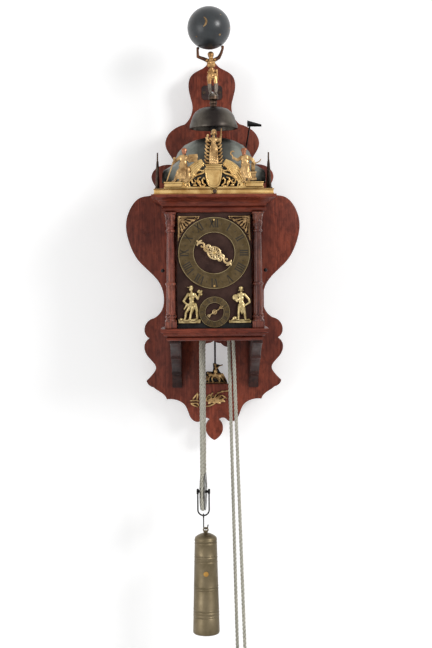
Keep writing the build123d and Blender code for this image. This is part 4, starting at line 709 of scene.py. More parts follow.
def column(x):
    """A turned column with reeded shafts, a middle ring, a moulded base and a square cap."""
    depth, foot, top = 204, -424.8, -228
    pieces = []
    for low, high, half in ((foot, foot + 12, 9.9), (top - 3.2, top, 9.6)):
        clear()
        bpy.ops.mesh.primitive_cube_add(
            size=1, location=(x * MM, -depth * MM, (low + high) / 2 * MM),
            scale=(2 * half * MM, 2 * half * MM, (high - low) * MM))
        pieces.append(worked(settled(bpy.context.object), "BEVEL", width=0.6 * MM, segments=2))
    for profile in COLUMN_PARTS:
        pieces.append(turned([(r, foot + h) for r, h in profile], (x, depth, 0), 48))
    for level, out, tall in ((187.6, 7.7, 5), (175.4, 6.5, 3.6), (20.4, 8.2, 2.2)):
        for step in range(10):
            turn = 2 * pi * step / 10
            clear()
            bpy.ops.mesh.primitive_uv_sphere_add(
                segments=8, ring_count=6, radius=MM, scale=(1.1, 1.9, tall),
                location=((x + out * cos(turn)) * MM, (-depth + out * sin(turn)) * MM,
                          (foot + level) * MM), rotation=(0, 0.12, turn))
            pieces.append(settled(bpy.context.object))
    steps = 10
    for low, high, first, last in ((25, 73, 7.7, 7.1), (78, 164, 6.8, 5.8)):
        clear()
        bpy.ops.mesh.primitive_circle_add(vertices=96, radius=first * MM,
                                          location=(x * MM, -depth * MM, (foot + low) * MM))
        shaft = bpy.context.object
        for spot in shaft.data.vertices:
            spot.co *= 0.82 + 0.18 * abs(cos(3 * atan2(spot.co.y, spot.co.x))) ** 0.5
        with editing(settled(shaft)):
            for step in range(1, steps + 1):
                swell = 1 + 0.03 * sin(pi * step / steps)
                before = 1 + 0.03 * sin(pi * (step - 1) / steps)
                share = (first + (last - first) * step / steps) / (
                    first + (last - first) * (step - 1) / steps)
                bpy.ops.mesh.extrude_region_move(
                    TRANSFORM_OT_translate={"value": (0, 0, (high - low) * MM / steps)})
                bpy.ops.transform.resize(value=(share * swell / before,) * 2 + (1,),
                                         center_override=(x * MM, -depth * MM, 0))
        pieces.append(cleaned(shaft))
    return joined(*pieces)


class CLOCK_OT_columns(bpy.types.Operator):
    """Turn and reed the two columns"""
    bl_idname = "clock.columns"
    bl_label = "Columns"

    def execute(self, context):
        for side, x in (("left", -74), ("right", 74)):
            shown(column(x), f"turned_column_{side}", "case", "column_wood", "column wood",
                  [f"column_{side}"], 40)
        return {"FINISHED"}


# Bells, globe and its bearer


# Profiles as (radius, z)
BIG_BELL = [
    (9, -94), (24, -94.6), (37, -98.8), (52, -106.5), (63, -118.5), (68.6, -132), (73, -141),
    (82, -146.6), (89, -150.5), (91.2, -156), (91.4, -164), (91.4, -171.9)
]
SOCKET = [
    (3.6, -38.3), (5.7, -38.3), (5.8, -34), (5.2, -33.6), (6.4, -32.6), (6.6, -30.8), (6.4, -29),
    (5.2, -28.2), (5.4, -27.4), (7, -26.4), (8.7, -24.8), (8.9, -21.6), (8.4, -19.4), (7.6, -18.8),
    (3.6, -18.8)
]


class CLOCK_OT_bells(bpy.types.Operator):
    """Turn the two bells and the socket above them"""
    bl_idname = "clock.bells"
    bl_label = "Bells"

    def execute(self, context):
        centre = (BELL_X, AXIS_DEPTH, 0)
        for name, outline, wall, bore, finish, slot in (
                ("big_bell", BIG_BELL, 2.6, 5.1, "bell bronze", "bell_metal"),
                ("small_bell", [(8, -38.4), (16, -39), (25, -42), (32, -47.4), (36.4, -54),
                                (38.8, -61), (41, -68), (42.2, -72), (42.3, -76.4)], 2.4, 3.6,
                 "small bell bronze", "bell_bronze")):
            inner = [(max(r - wall * (0.2 if i < 2 else 1), bore), z - wall * (1 if i < 6 else 0.2))
                     for i, (r, z) in enumerate(outline)]
            inner[-1] = (outline[-1][0] - wall, outline[-1][1])
            profile = [(bore, outline[0][1])] + outline + inner[::-1] + [
                (bore, outline[0][1] - wall), (bore, outline[0][1])]
            piece = turned(profile, centre, 128)
            worked(piece, "BEVEL", width=0.35 * MM, segments=2, limit_method="ANGLE",
                   angle_limit=radians(50))
            shown(piece, name + "_turned", "case", slot, finish, [name], 50)
        socket = turned(SOCKET, centre, 64)
        shown(socket, "socket_turned", "case", "aged_brass", "dark brass", ["finial_socket"], 40)
        hammer = eased("half_hour_hammer", 0.3)
        for spot in hammer.data.vertices:
            share = min(max((spot.co.x / MM - 66) / 20.5, 0), 1)
            if spot.co.z / MM > -71.2 and spot.co.x / MM > 60:
                spot.co.z += (-70.6 * MM - spot.co.z) * 0.72 * share + 0.0006 * (1 - share)
        shown(hammer, "half_hour_hammer_forged", "half_hour_hammer", "iron", "black iron",
              ["half_hour_hammer"], 40)
        paint("black iron", "bell_stand", "hour_hammer", "alarm_hammer")
        return {"FINISHED"}


LEAN = radians(3.3)


def bearer(x, forward, height):
    """A place on the leaning bearer of the globe."""
    return (BELL_X + x * cos(LEAN) - height * sin(LEAN), AXIS_DEPTH + forward,
            SOCKET_TOP + height * cos(LEAN) + x * sin(LEAN))


def leaned(lumps):
    """Lumps given on the upright bearer, put where its lean takes them."""
    return [(*bearer(*lump[:3]), lump[3], *bearer(*lump[4:7]), lump[7]) if len(lump) == 8 else
            (*bearer(*lump[:3]), *lump[3:]) for lump in lumps]


# On the globe: turn and rise in degrees, and size
STARS = ((34, -27, 2.9), (-42, -31, 2.5), (38, 29, 1.6), (-58, 26, 1.8), (70, -4, 1.9),
         (110, 20, 2.2), (150, -20, 2), (-120, 30, 2.2), (-150, -10, 2), (185, 40, 2))


# Lumps of the upright bearer, from the top of its socket
BEARER_TORSO = [
    (0, 0.4, 36, 8.2, 5, 5.4, 0), (0, 0.2, 44, 6.2, 4.6, 6, 0), (-0.2, 0.4, 56.4, 8, 5, 7.6, 0),
    (-7.4, 0, 63.6, 3.6), (7.4, 0, 64, 3.6), (0, 0, 63, 4.4, 0.3, 1, 68.6, 3.8),
    (0.3, 2.4, 72.2, 5.4, 5.4, 6.2, 0), (0.2, -0.6, 74, 5.8, 5.2, 5, 0), (0.4, 8, 71.4, 1.1),
    (0.4, 5.6, 67.4, 3.4, 2.6, 3, 0), (-3.2, 4.6, 59, 3.3, 1.6, 2.6, 10),
    (3.2, 4.6, 59, 3.3, 1.6, 2.6, -10), (0, 4.2, 47, 3, 1.5, 4, 0),
    (8.2, -1, 45, 2.6, 9.4, -2, 29, 1.5), (-6.6, 3, 42, 1.6, 6.4, 4, 38, 1.8),
    (-6.4, 3, 38, 1.6, 3, 5, 31, 1.8)
]


class CLOCK_OT_globe(bpy.types.Operator):
    """Model the globe with its moon and stars, and the figure that carries it"""
    bl_idname = "clock.globe"
    bl_label = "Globe and bearer"

    def execute(self, context):
        low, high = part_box("globe")
        middle = (low + high) / 2
        clear()
        bpy.ops.mesh.primitive_uv_sphere_add(segments=96, ring_count=48, radius=0.0379,
                                             location=middle)
        shown(bpy.context.object, "painted_globe", "case", "globe_paint", "globe paint",
              ["globe"], 60)
        signs = []
        for side, rise, size in STARS:
            points = [size * (1 if k % 2 else 0.42) for k in range(10)]
            signs.append(([(out * sin(pi * k / 5), out * cos(pi * k / 5))
                           for k, out in enumerate(points)], side, rise))
        moon = [(9.4 * sin(a), 9.4 * cos(a)) for a in (radians(v) for v in range(12, 169, 10))]
        moon += [(-5.4 + 11 * cos(b), 11 * sin(b)) for b in
                 (radians(v) for v in range(-52, 53, 12))]
        signs.append((moon, -18.5, 6.5))
        pieces = []
        for outline, side, rise in signs:
            sign = cut_out([outline], 0, 0.3, 0.1)
            sign.location = (0, -0.0378, 0)
            settled(sign)
            sign.rotation_mode = "XYZ"
            sign.rotation_euler = (radians(-rise), 0, radians(side))
            settled(sign)
            for spot in sign.data.vertices:
                spot.co = spot.co.normalized() * min(max(spot.co.length, 0.0377), 0.03798)
            sign.location = middle
            pieces.append(settled(sign))
        shown(joined(*pieces), "moon_and_stars", "case", "gilt", "worn brass", smooth=0)

        legs, arms = [], []
        torso = list(BEARER_TORSO)
        for x, knee in ((-4.6, -5.4), (4.6, 6)):
            torso.append((x, 0.6, 34, 4.7, knee, 2, 20.5, 3.3))
            legs += [(knee, 2, 20.5, 3.2, knee * 0.95, 0.6, 13, 3.1),
                     (knee * 0.95, 0.6, 13, 3.1, x, 1, 4.5, 2),
                     (x, 3, 4.4, 2, x * 1.2, 7.5, 3.4, 1.4)]
        for side, elbow, hand in ((-1, (-22.6, 70.6), (-22.4, 84)), (1, (18.4, 74), (22.4, 84))):
            arms += [(side * 8.4, 0, 64.4, 3.2, side * 14, 0.5, 67, 2.9),
                     (side * 14, 0.5, 67, 2.9, elbow[0], 1, elbow[1], 2.4),
                     (elbow[0], 1, elbow[1], 2.4, hand[0], 1, hand[1], 1.9),
                     (hand[0] * 0.97, 1, hand[1] + 1.4, 2.6, 2.1, 2.4, side * -20)]
        for turn, x, height in ((20, -4.6, 36), (-8, 0, 33), (-24, 5, 35)):
            torso.append((x, 4.4, height, 1.6, 1.4, 6, turn))
        base = turned([(0.1, 0), (8.9, 0), (8.9, 1), (7.6, 2), (7.8, 3.2), (6.6, 4.2), (0.1, 4.4)],
                      (BELL_X, AXIS_DEPTH, SOCKET_TOP), 48)
        figure = clay(leaned(torso), 0.4, 2)
        shown(clay(leaned(arms), 0.42, 3, plump=1.1), "bearer_arms", "case", "aged_brass",
              "bronzed arms", smooth=60)
        shown(joined(clay(leaned(legs), 0.42, 3, plump=1.1), base), "bearer_legs", "case",
              "aged_brass", "grey bronze", smooth=60)
        shown(figure, "globe_bearer", "case", "gilt", "gilding", ["atlas_figure"], 60)
        return {"FINISHED"}


# Dial


def round_mark(centre_z, angle, side, out):
    """A place on a dial ring: an angle clockwise from the top, a step sideways, a radius."""
    turn = radians(angle)
    return (out * sin(turn) + side * cos(turn), centre_z + out * cos(turn) - side * sin(turn))


def numerals(centre_z, low, high, thick, thin):
    """The twelve hours as two sets of outlines, the broad strokes and the fine ones."""
    broad, fine = [], []
    tall = high - low
    advance = {"I": 2.15 * thick, "V": 4.4 * thick, "X": 4.6 * thick}
    for hour, word in enumerate(("XII", "I", "II", "III", "IIII", "V", "VI", "VII", "VIII",
                                 "IX", "X", "XI")):
        across = -sum(advance[letter] for letter in word) / 2
        for letter in word:
            middle = across + advance[letter] / 2
            half = advance[letter] / 2 - 0.55 * thick
            across += advance[letter]

            def bar(foot, top, width, rise=(0, tall)):
                return [round_mark(centre_z, hour * 30, side, low + up) for side, up in (
                    (foot - width / 2, rise[0]), (top - width / 2, rise[1]),
                    (top + width / 2, rise[1]), (foot + width / 2, rise[0]))]

            if letter == "I":
                broad.append(bar(middle, middle, thick))
                ends = (middle,)
            elif letter == "V":
                broad.append(bar(middle - 0.1 * thick, middle - half, thick))
                fine.append(bar(middle + 0.35 * thick, middle + half, thin))
                ends = (middle - half, middle + half)
            else:
                broad.append(bar(middle + half, middle - half, thick))
                fine.append(bar(middle - half, middle + half, thin))
                ends = (middle - half, middle + half)
            for end in ends:
                fine.append(bar(end, end, 1.9 * thick, (tall - 0.2 * thick, tall + 0.25 * thick)))
                if letter != "V":
                    fine.append(bar(end, end, 1.9 * thick, (-0.25 * thick, 0.2 * thick)))
    return broad, fine


def hoop(centre_z, radius, width):
    return [[round_mark(centre_z, 3 * step, 0, out) for step in range(120)]
            for out in (radius, radius + width)]


class CLOCK_OT_dial(bpy.types.Operator):
    """Turn and engrave the hour ring and the alarm ring, and stretch the velvet behind them"""
    bl_idname = "clock.dial"
    bl_label = "Dial"

    def execute(self, context):
        low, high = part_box("dial_velvet")
        high.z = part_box("cornice_moulding")[0].z - 0.0002
        clear()
        bpy.ops.mesh.primitive_grid_add(x_subdivisions=60, y_subdivisions=90, size=1,
                                        location=(0, 0, 0))
        cloth = context.object
        cloth.scale = (high.x - low.x, high.z - low.z, 1)
        cloth.rotation_euler = (pi / 2, 0, 0)
        cloth.location = ((low.x + high.x) / 2, low.y + 0.00025, (low.z + high.z) / 2)
        settled(cloth)
        for spot in cloth.data.vertices:
            x, z = spot.co.x / MM, spot.co.z / MM
            spot.co.y += 0.00012 * (sin(x * 0.21 + z * 0.05) * sin(z * 0.17 - x * 0.04)
                                    + 0.4 * sin(x * 0.9) * sin(z * 0.8))
        worked(cloth, "SOLIDIFY", thickness=0.0006, offset=-1)
        shown(cloth, "velvet_cloth", "case", "velvet", "dial velvet", ["dial_velvet"], 60)
        paint("black iron", "dial_plate")

        for name, node, centre_z, inner, outer, rim, digits in (
                ("hour_ring", "chapter_ring", DIAL_Z, 34.4, 61.3, 1, (44, 57.2, 1.75, 0.6)),
                ("alarm_scale", "alarm_ring", ALARM_Z, 15.4, 26.3, 0.6, (18.2, 23.6, 0.66, 0.3))):
            low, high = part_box(node)
            face = 1.6
            ring = turned([(inner, 0), (inner, face), (inner + 0.4 * rim, face + 0.4),
                           (inner + 1.6 * rim, face + 0.4), (inner + 2 * rim, face),
                           (outer - 2 * rim, face), (outer - 1.6 * rim, face + 0.4),
                           (outer - 0.4 * rim, face + 0.4), (outer, face), (outer, 0),
                           (inner, 0)], (0, -high.y / MM, centre_z), 144, FACING)
            shown(ring, name, "case", "ring_brass", "ring brass", [node], 30)
            rims = [turned([(radius - rim, face - 0.2), (radius - 0.7 * rim, face + 0.3),
                            (radius, face + 0.46), (radius + 0.7 * rim, face + 0.3),
                            (radius + 0.95 * rim, face - 0.2), (radius - rim, face - 0.2)],
                           (0, -high.y / MM, centre_z), 144, FACING)
                    for radius in (inner + rim, outer - rim)]
            # the rims carry a painted highlight in their paler brass
            shown(joined(*rims), name + "_rims", "case", "ring_brass", "rim brass", smooth=60)
            broad, fine = numerals(centre_z, *digits)
            track = digits[0] - 3.2 * digits[2]
            marks = hoop(centre_z, track, 0.16) + hoop(centre_z, track + 1.7 * rim, 0.16)
            for step in range(48):
                width = 0.22 if step % 4 else 0.5
                marks.append([round_mark(centre_z, step * 7.5, side, out) for side, out in (
                    (-width / 2, track + 0.3), (-width / 2, track + 1.6 * rim),
                    (width / 2, track + 1.6 * rim), (width / 2, track + 0.3))])
            for step in range(12):
                reach = 1.1 * rim
                middle = (digits[0] + digits[1]) / 2
                marks.append([round_mark(centre_z, step * 30 + 15, side, middle + out)
                              for side, out in ((0, 1.9 * reach), (0.6 * reach, 0),
                                                (0, -1.9 * reach), (-0.6 * reach, 0))])
            depth = -high.y / MM + face - 0.06
            inlay = joined(*[cut_out(lines, depth, thick, 0.01) for lines, thick in (
                (broad, 0.1), (fine, 0.12), (marks, 0.09))])
            shown(inlay, name + "_engraving", "case", "ring_brass", "engraving", smooth=0)
        return {"FINISHED"}


def pointing(centre_z, angle, points):
    """Points of a hand, given along and across it, as places on the dial."""
    return [(*round_mark(centre_z, angle, across, along), share)
            for along, across, share in points]


def oval(along, across, long, wide, steps=24):
    return [(along + long * cos(a), across + wide * sin(a), 1)
            for a in (2 * pi * step / steps for step in range(steps))]


# Lines along and across each hand, with their share of its thickness
HAND_SCROLLS = [[(3, 1.8, 1), (5, 6, 1.2), (9, 5.6, 1.1), (8.6, 1.6, 1), (5.6, 1.4, 0.9),
                 (5.4, 3.6, 0.7)],
                [(0, 3.4, 0.9), (1.6, 6.4, 0.9), (3, 9.4, 0.8)]]
HAND_ARMS = [[(9.5, -3, 1.6), (13, -5, 1.7),
                      (17, -4.6, 1.5), (20, 0.4, 1.4),
                      (23.5, 3.6, 1.35), (27, 2.8, 1.4),
                      (30.5, 0.4, 1.6)],
                     [(10, 4, 1.5), (13, 6.6, 1.5),
                      (17, 5, 1.3), (16.4, 1.6, 1.1),
                      (14, 2, 0.8)],
                     [(12, -1, 1.5), (15.6, -0.6, 1.3),
                      (19, 0, 1.2)],
                     [(20, 1, 1.2), (21.5, -3, 1.2),
                      (24.8, -3.4, 1), (24.6, -1, 0.8)],
                     [(30, 0.4, 1.6), (32, 4.4, 2.1),
                      (28.4, 6, 0.9)],
                     [(30, 0.4, 1.6), (33, -3.2, 2.1),
                      (30.2, -5.6, 0.9)],
                     [(30, 0.4, 1.8), (33, 0.8, 2.4),
                      (36.4, 1.2, 0.8)]]
ALARM_ARMS = [[(3.4, 0, 1.1), (8, 0.6, 1), (12, -0.8, 1), (15, 0.4, 1.3), (18.4, 0, 0.4)],
                [(11, -0.4, 0.9), (12.6, -3, 0.9), (15.2, -2.4, 0.5)],
                [(11, 0, 0.9), (12.8, 2.6, 0.9), (15.2, 2.4, 0.5)],
                [(-3.4, 0, 1.1), (-7, -0.6, 1), (-10, 0.4, 1.3), (-14.3, 0, 0.7)],
                [(-9, 0, 1), (-11.4, 2.6, 1), (-13.6, 2.2, 0.5)],
                [(-9, 0, 1), (-11.4, -2.6, 1), (-13.6, -2.2, 0.5)]]


class CLOCK_OT_hands(bpy.types.Operator):
    """Saw out and file the pierced hour hand and the alarm hand"""
    bl_idname = "clock.hands"
    bl_label = "Hands"

    def execute(self, context):
        bars = []
        for side in (1, -1):
            for curl in (1, -1):
                bars += [[(along * side, across * curl, share) for along, across, share in line]
                         for line in HAND_SCROLLS]
            bars += [[(along * side, across * side, share) for along, across, share in line]
                     for line in HAND_ARMS]
        low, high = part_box("hour_hand")
        alarm_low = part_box("alarm_hand")[0]
        for name, node, body, depth, centre_z, aim, rounds, lines, thick, flat, cap, steps in (
                ("pierced_hand", "hour_hand", "hour_arbor", -(low.y + high.y) / 2 / MM, DIAL_Z,
                 123.8, [oval(0, 0, 11.6, 10), oval(0, 0, 3.6, 3.6)], bars, (2.4, 2.3), 0.6,
                 [(0.1, -0.8), (2.9, -0.8), (3, 0.4), (2.2, 0.9), (1.2, 1.2), (0.1, 1.3)], 32),
                ("alarm_pointer", "alarm_hand", "alarm_hand", -alarm_low.y / MM - 0.7, ALARM_Z,
                 55.3, [oval(0, 0, 3.4, 3.4)], ALARM_ARMS, (1.7, 1.9), 0.7,
                 [(0.1, -0.6), (1.9, -0.6), (1.9, 0.3), (1, 0.65), (0.1, 0.7)], 24)):
            hub = wire([pointing(centre_z, aim, line) for line in rounds], thick[0], flat, depth,
                       closed=True)
            arms = wire([pointing(centre_z, aim, line) for line in lines], thick[1], flat, depth)
            boss = turned(cap, (0, depth, centre_z), steps, FACING)
            shown(joined(hub, arms, boss), name, body, "gilt", "hand metal", [node], 50)
        return {"FINISHED"}


def mirrored(lumps):
    """The same lumps on the other side of the middle."""
    return [(-lump[0], *lump[1:4], -lump[4], *lump[5:]) if len(lump) == 8 else
            (-lump[0], *lump[1:6], -lump[6]) if len(lump) == 7 else (-lump[0], *lump[1:])
            for lump in lumps]


def flat_limbs(depth, lines):
    """Tapered limbs along (x, z, radius) lines, all at one depth."""
    return [(first[0], depth, first[1], first[2], last[0], depth, last[1], last[2])
            for line in lines for first, last in zip(line, line[1:])]


# Stems as (x, z, radius), and lumps with their depths from the ornament's own
SPANDREL_STEMS = [
    [(59.6, -235.6, 2.2), (52, -235.4, 2), (44, -235.4, 1.7), (35, -235, 1.4), (27, -235.2, 1)],
    [(60, -236, 2.2), (60.2, -245, 1.9), (59.8, -254, 1.7), (59.8, -262, 1.7), (60.4, -269, 1.4),
    (61, -276, 0.7)]
]
SPANDREL_HEAD = [
    (52.6, 1, -243, 4, 2.5, 4.4, 0), (52.6, 2.6, -244.8, 1.6, 1, 1.8, 0),
    (52.6, 3.2, -243.6, 0.7, 0.7, 1.2, 0), (50.9, 2.7, -241.6, 1.2, 0.8, 0.8, 0),
    (54.3, 2.7, -241.6, 1.2, 0.8, 0.8, 0), (52.6, 1.6, -239, 3.4, 1.6, 1.6, 0)
]


class CLOCK_OT_spandrels(bpy.types.Operator):
    """Chase the two corner ornaments with a small head among leaves"""
    bl_idname = "clock.spandrels"
    bl_label = "Corner ornaments"

    def execute(self, context):
        corner_x, corner_z, clear_of_ring = 59.4, -236.2, 64.5
        leaves = []
        for turn in (192, 208, 226, 244, 258):
            ahead, up = cos(radians(turn)), sin(radians(turn))
            reach = next(step for step in range(6, 60) if step > 34 or hypot(
                corner_x + ahead * step, corner_z + up * step - DIAL_Z) < clear_of_ring)
            for share, width, lift in ((0.3, 1.7, 0.2), (0.62, 1.5, 0.6), (0.86, 2.2, 0.3)):
                leaves.append((corner_x + ahead * reach * share, lift,
                               corner_z + up * reach * share, reach * 0.17, 1.5, width, turn))
            leaves.append((corner_x + ahead * reach * 0.2, 1.2, corner_z + up * reach * 0.2, 0.7,
                           corner_x + ahead * reach * 0.9, 1.1, corner_z + up * reach * 0.9, 0.5))
        for step in range(11):
            turn = 25 + step * 3.9
            out = 64.6 + 1.2 * (step % 2)
            x, z = out * sin(radians(turn)), DIAL_Z + out * cos(radians(turn))
            leaves += [(x, 0.2, z, 2.2, 1.4, 1.5, -turn + 24 * (step % 2)), (x, 1.4, z, 0.8)]
        leaves += flat_limbs(0, SPANDREL_STEMS)
        leaves += [(26, 0, -235.2, 1.8), (30.6, 0.4, -235.4, 1.9), (60.4, 0.4, -267, 1.9),
                   (59.4, 0.8, -236, 3, 2.2, 3, 0), (61, 0, -275, 1.1)]
        leaves += SPANDREL_HEAD
        for side, lumps in (("right", leaves), ("left", mirrored(leaves))):
            shown(clay(lumps, 0.3, 2, VELVET_FACE, depth=198.9), "corner_ornament_" + side, "case",
                  "gilt", "worn brass", ["spandrels"] if side == "left" else (), 60)
        return {"FINISHED"}


# Lumps, with their depths from the figure's own
LEFT_FIGURE = [
    (-39.8, 1, -358.2, 2.9, 2.8, 3.5, 0), (-39.6, 3.4, -358.6, 0.8),
    (-41, 1, -355.4, 5.4, 3, 1, -8), (-39.6, 0.8, -353.8, 2.8, 2.6, 2, 0),
    (-39.4, 0, -361.5, 1.5, -39, 0, -364.5, 1.8), (-39, 0, -368, 5, 3, 4.2, 0),
    (-38.8, 0, -374, 4.2, 2.8, 4.8, 0), (-38.6, 0, -380, 3.7, 2.7, 3.4, 0),
    (-38.6, 0, -386, 5.4, 3, 4.6, 0), (-44.4, 0, -366.4, 2.2, -52.6, 0, -378.4, 1.8),
    (-52.6, 0, -378.4, 1.8, -45.2, 1, -385.4, 1.5), (-33.6, 0, -366.6, 2.2, -28.4, 1, -374.6, 1.9),
    (-28.4, 1, -374.6, 1.8, -25.4, 1.6, -367, 1.4), (-24, 1.4, -363.8, 3), (-27.4, 1.4, -362.8, 2),
    (-22.6, 1.6, -367.4, 2), (-26, 1.6, -360.8, 1.9), (-21.8, 1.2, -361.6, 1.7),
    (-41.6, 0, -388, 3.4, -48.4, 0, -398, 2), (-48.4, 0, -398, 2, -50, 0, -408, 1.5),
    (-35.6, 0, -388, 3.6, -40, 0.6, -398.6, 2.2), (-40, 0.6, -398.6, 2.2, -41.4, 0, -408, 1.6),
    (-33, 0, -384, 2.8, -30, 0, -395, 2.2), (-30, 0, -395, 2.2, -29.6, 0, -407, 1.9),
    (-46, 0, -384, 2, -51.4, 0, -392, 1.2), (-34, 1.4, -371, 1, -43, 1.4, -383, 1),
    (-52, 0, -409.4, 2.4, 2, 1.3, 0), (-43, 0, -409.4, 2.6, 2, 1.3, 0),
    (-31, 0, -409, 2.6, 2, 1.5, 0), (-57, -0.6, -410, 3, 1.8, 2.4, 20),
    (-36, -0.6, -411, 5, 1.8, 2.2, 0), (-48, -0.6, -412, 6, 1.8, 2, 0)
]
RIGHT_FIGURE = [
    (45, 1, -359, 2.8, 2.8, 3.5, 0), (45, 3.4, -359.4, 0.8), (45, 0.2, -356.6, 3.4, 2.8, 2.8, 0),
    (48, 0, -360.6, 1.4), (42, 0, -360.6, 1.4), (45, 0, -362.4, 1.5, 45.4, 0, -365, 1.8),
    (45.6, 0, -368.6, 5, 3, 4, 0), (45.4, 0, -374.6, 4, 2.8, 4.6, 0),
    (45.2, 0, -380.4, 3.8, 2.7, 3.6, 0), (45.6, 0, -387, 5.4, 3, 4.6, 0),
    (50.6, 0, -367.4, 2.2, 58.6, 0, -376, 1.8), (58.6, 0, -376, 1.8, 60, 0, -381, 1.5),
    (60, 0, -381, 1.5, 52.6, 0.8, -385.6, 1.4), (40.6, 0, -367.6, 2.2, 35.6, 1, -372.6, 2),
    (35, 1, -372.6, 4.2, 2, 4.6, 0), (34, 2, -369.4, 2.6, 1.4, 1.6, 30),
    (33.4, 2.2, -374.6, 2.4, 1.4, 1.6, 0), (38.6, 1.2, -377.6, 2.4, 1.8, 3, -20),
    (43, 0, -389, 3.4, 41, 0.4, -399, 2.1), (41, 0.4, -399, 2.1, 40.6, 0, -409, 1.5),
    (48.4, 0, -389, 3.5, 51, 0, -399, 2.2), (51, 0, -399, 2.2, 52.4, 0, -409, 1.6),
    (46, 0, -388, 3, 46.4, 0, -400, 1.4), (40.6, 1.4, -370, 1, 50, 1.4, -383.6, 1),
    (39.4, 0, -410.6, 2.6, 2, 1.2, 0), (54, 0, -410.6, 2.6, 2, 1.2, 0),
    (34, 0, -408, 3.2, 2, 3, 10), (31, -0.4, -411, 2.6, 1.8, 1.6, 0),
    (57.6, -0.4, -410.6, 2.4, 1.8, 1.8, 0), (46, -0.6, -411.4, 5, 1.8, 1.6, 0)
]


class CLOCK_OT_dial_figures(bpy.types.Operator):
    """Chase the two standing figures beside the alarm ring"""
    bl_idname = "clock.dial_figures"
    bl_label = "Dial figures"

    def execute(self, context):
        for side, lumps, near, far, top in (("left", LEFT_FIGURE, -61.4, -24, -409.4),
                                            ("right", RIGHT_FIGURE, 24.4, 62, -411.4)):
            figure = clay(lumps, 0.36, 2, VELVET_FACE, 1.24, 201)
            foot = cut_out([[(near, -416), (near, top + 0.8), (near + 1.6, top),
                             ((near + far) / 2, top - 0.7), (far - 1.6, top), (far, top + 0.6),
                             (far, -416)]], VELVET_FACE, 3.4, 0.5)
            shown(joined(foot, figure), "dial_figure_" + side, "case", "gilt", "figure brass",
                  ["dial_figures"] if side == "left" else (), 60)
        return {"FINISHED"}


# Brass round the top


def acanthus(side, depth, line, ribs=5, spread=2.8, radius=1.7):
    """Ribs side by side along a line of (x, z) points, as on a carved leaf."""
    lines = []
    for rib in range(ribs):
        shift = (rib - (ribs - 1) / 2) * spread
        run = []
        for index, (x, z) in enumerate(line):
            before, after = line[max(index - 1, 0)], line[min(index + 1, len(line) - 1)]
            dx, dz = after[0] - before[0], after[1] - before[1]
            size = hypot(dx, dz)
            share = index / (len(line) - 1)
            swell = 0.75 + 0.5 * sin(pi * min(share * 1.2, 1))
            run.append((side * (x - dz / size * shift * swell), z + dx / size * shift * swell,
                        radius * (0.8 + 0.3 * sin(pi * share))))
        lines.append(run)
    return flat_limbs(depth, lines)


# Points of the front fret as (x, z), and of its scrolls as (x, z, radius)
FRET_LEAF = [(19, -143.6), (26.6, -148.6), (34.4, -156), (41.4, -164.6), (47, -173.6), (51, -181),
             (54, -185)]
FRET_SCROLLS = [
    [(20, -144, 2), (16.6, -146.4, 1.7), (17, -150, 1.4), (20.4, -150.6, 1.2), (21.6, -148, 1)],
    [(50, -184.6, 2), (54.6, -186, 1.8), (57, -182.6, 1.5), (54.6, -179.4, 1.3), (52, -181.4, 1)],
    [(14.6, -160, 1.5), (20, -163, 1.6), (27, -165, 1.6), (33, -168, 1.5), (37.4, -173, 1.4),
    (36, -178.4, 1.3), (31.4, -179, 1.2), (30, -175.4, 1.1), (32.6, -173.4, 0.9)],
    [(14, -182.6, 1.5), (18.6, -179, 1.6), (19.4, -173.6, 1.5), (16.6, -170, 1.2),
    (14.8, -172.6, 1)], [(22, -185, 1.3), (25, -180, 1.7), (27.6, -175.6, 1.7), (26, -170.4, 1.3),
    (22.4, -169.4, 1)], [(40.6, -184.6, 1.4), (42, -179, 1.5), (40.4, -174, 1.2)],
    [(30, -163.4, 1.5), (33, -159.4, 1.6), (37, -159, 1.4)], [(15, -157, 1.4), (19.4, -158.6, 1.4),
    (25, -156.4, 1.4), (28.6, -151.4, 1.4)]
]
# The front half of a side fret's outline as (depth, z), and its holes as ovals
SIDE_FRET_EDGE = [
    (50.5, -188.3), (50.5, -181.6), (54, -180), (57, -176), (61, -179), (66, -176.6), (70, -168),
    (74, -164.4), (79, -168), (83, -164), (86, -153), (89, -148.6), (94, -151.4), (98, -147),
    (102, -136.6), (105, -134), (109, -136), (112.6, -130), (115.6, -120.6), (118, -118.6)
]
SIDE_FRET_HOLES = [
    (66, -183.6, 5, 2.6), (86, -182, 7, 4), (86, -168, 3, 5.4), (106, -181, 7, 4.4),
    (102, -160, 3.4, 8), (118, -146, 3, 9), (118, -170, 5, 6.6), (134, -160, 3.4, 8),
    (130, -181, 7, 4.4), (150, -168, 3, 5.4), (150, -182, 7, 4), (170, -183.6, 5, 2.6)
]


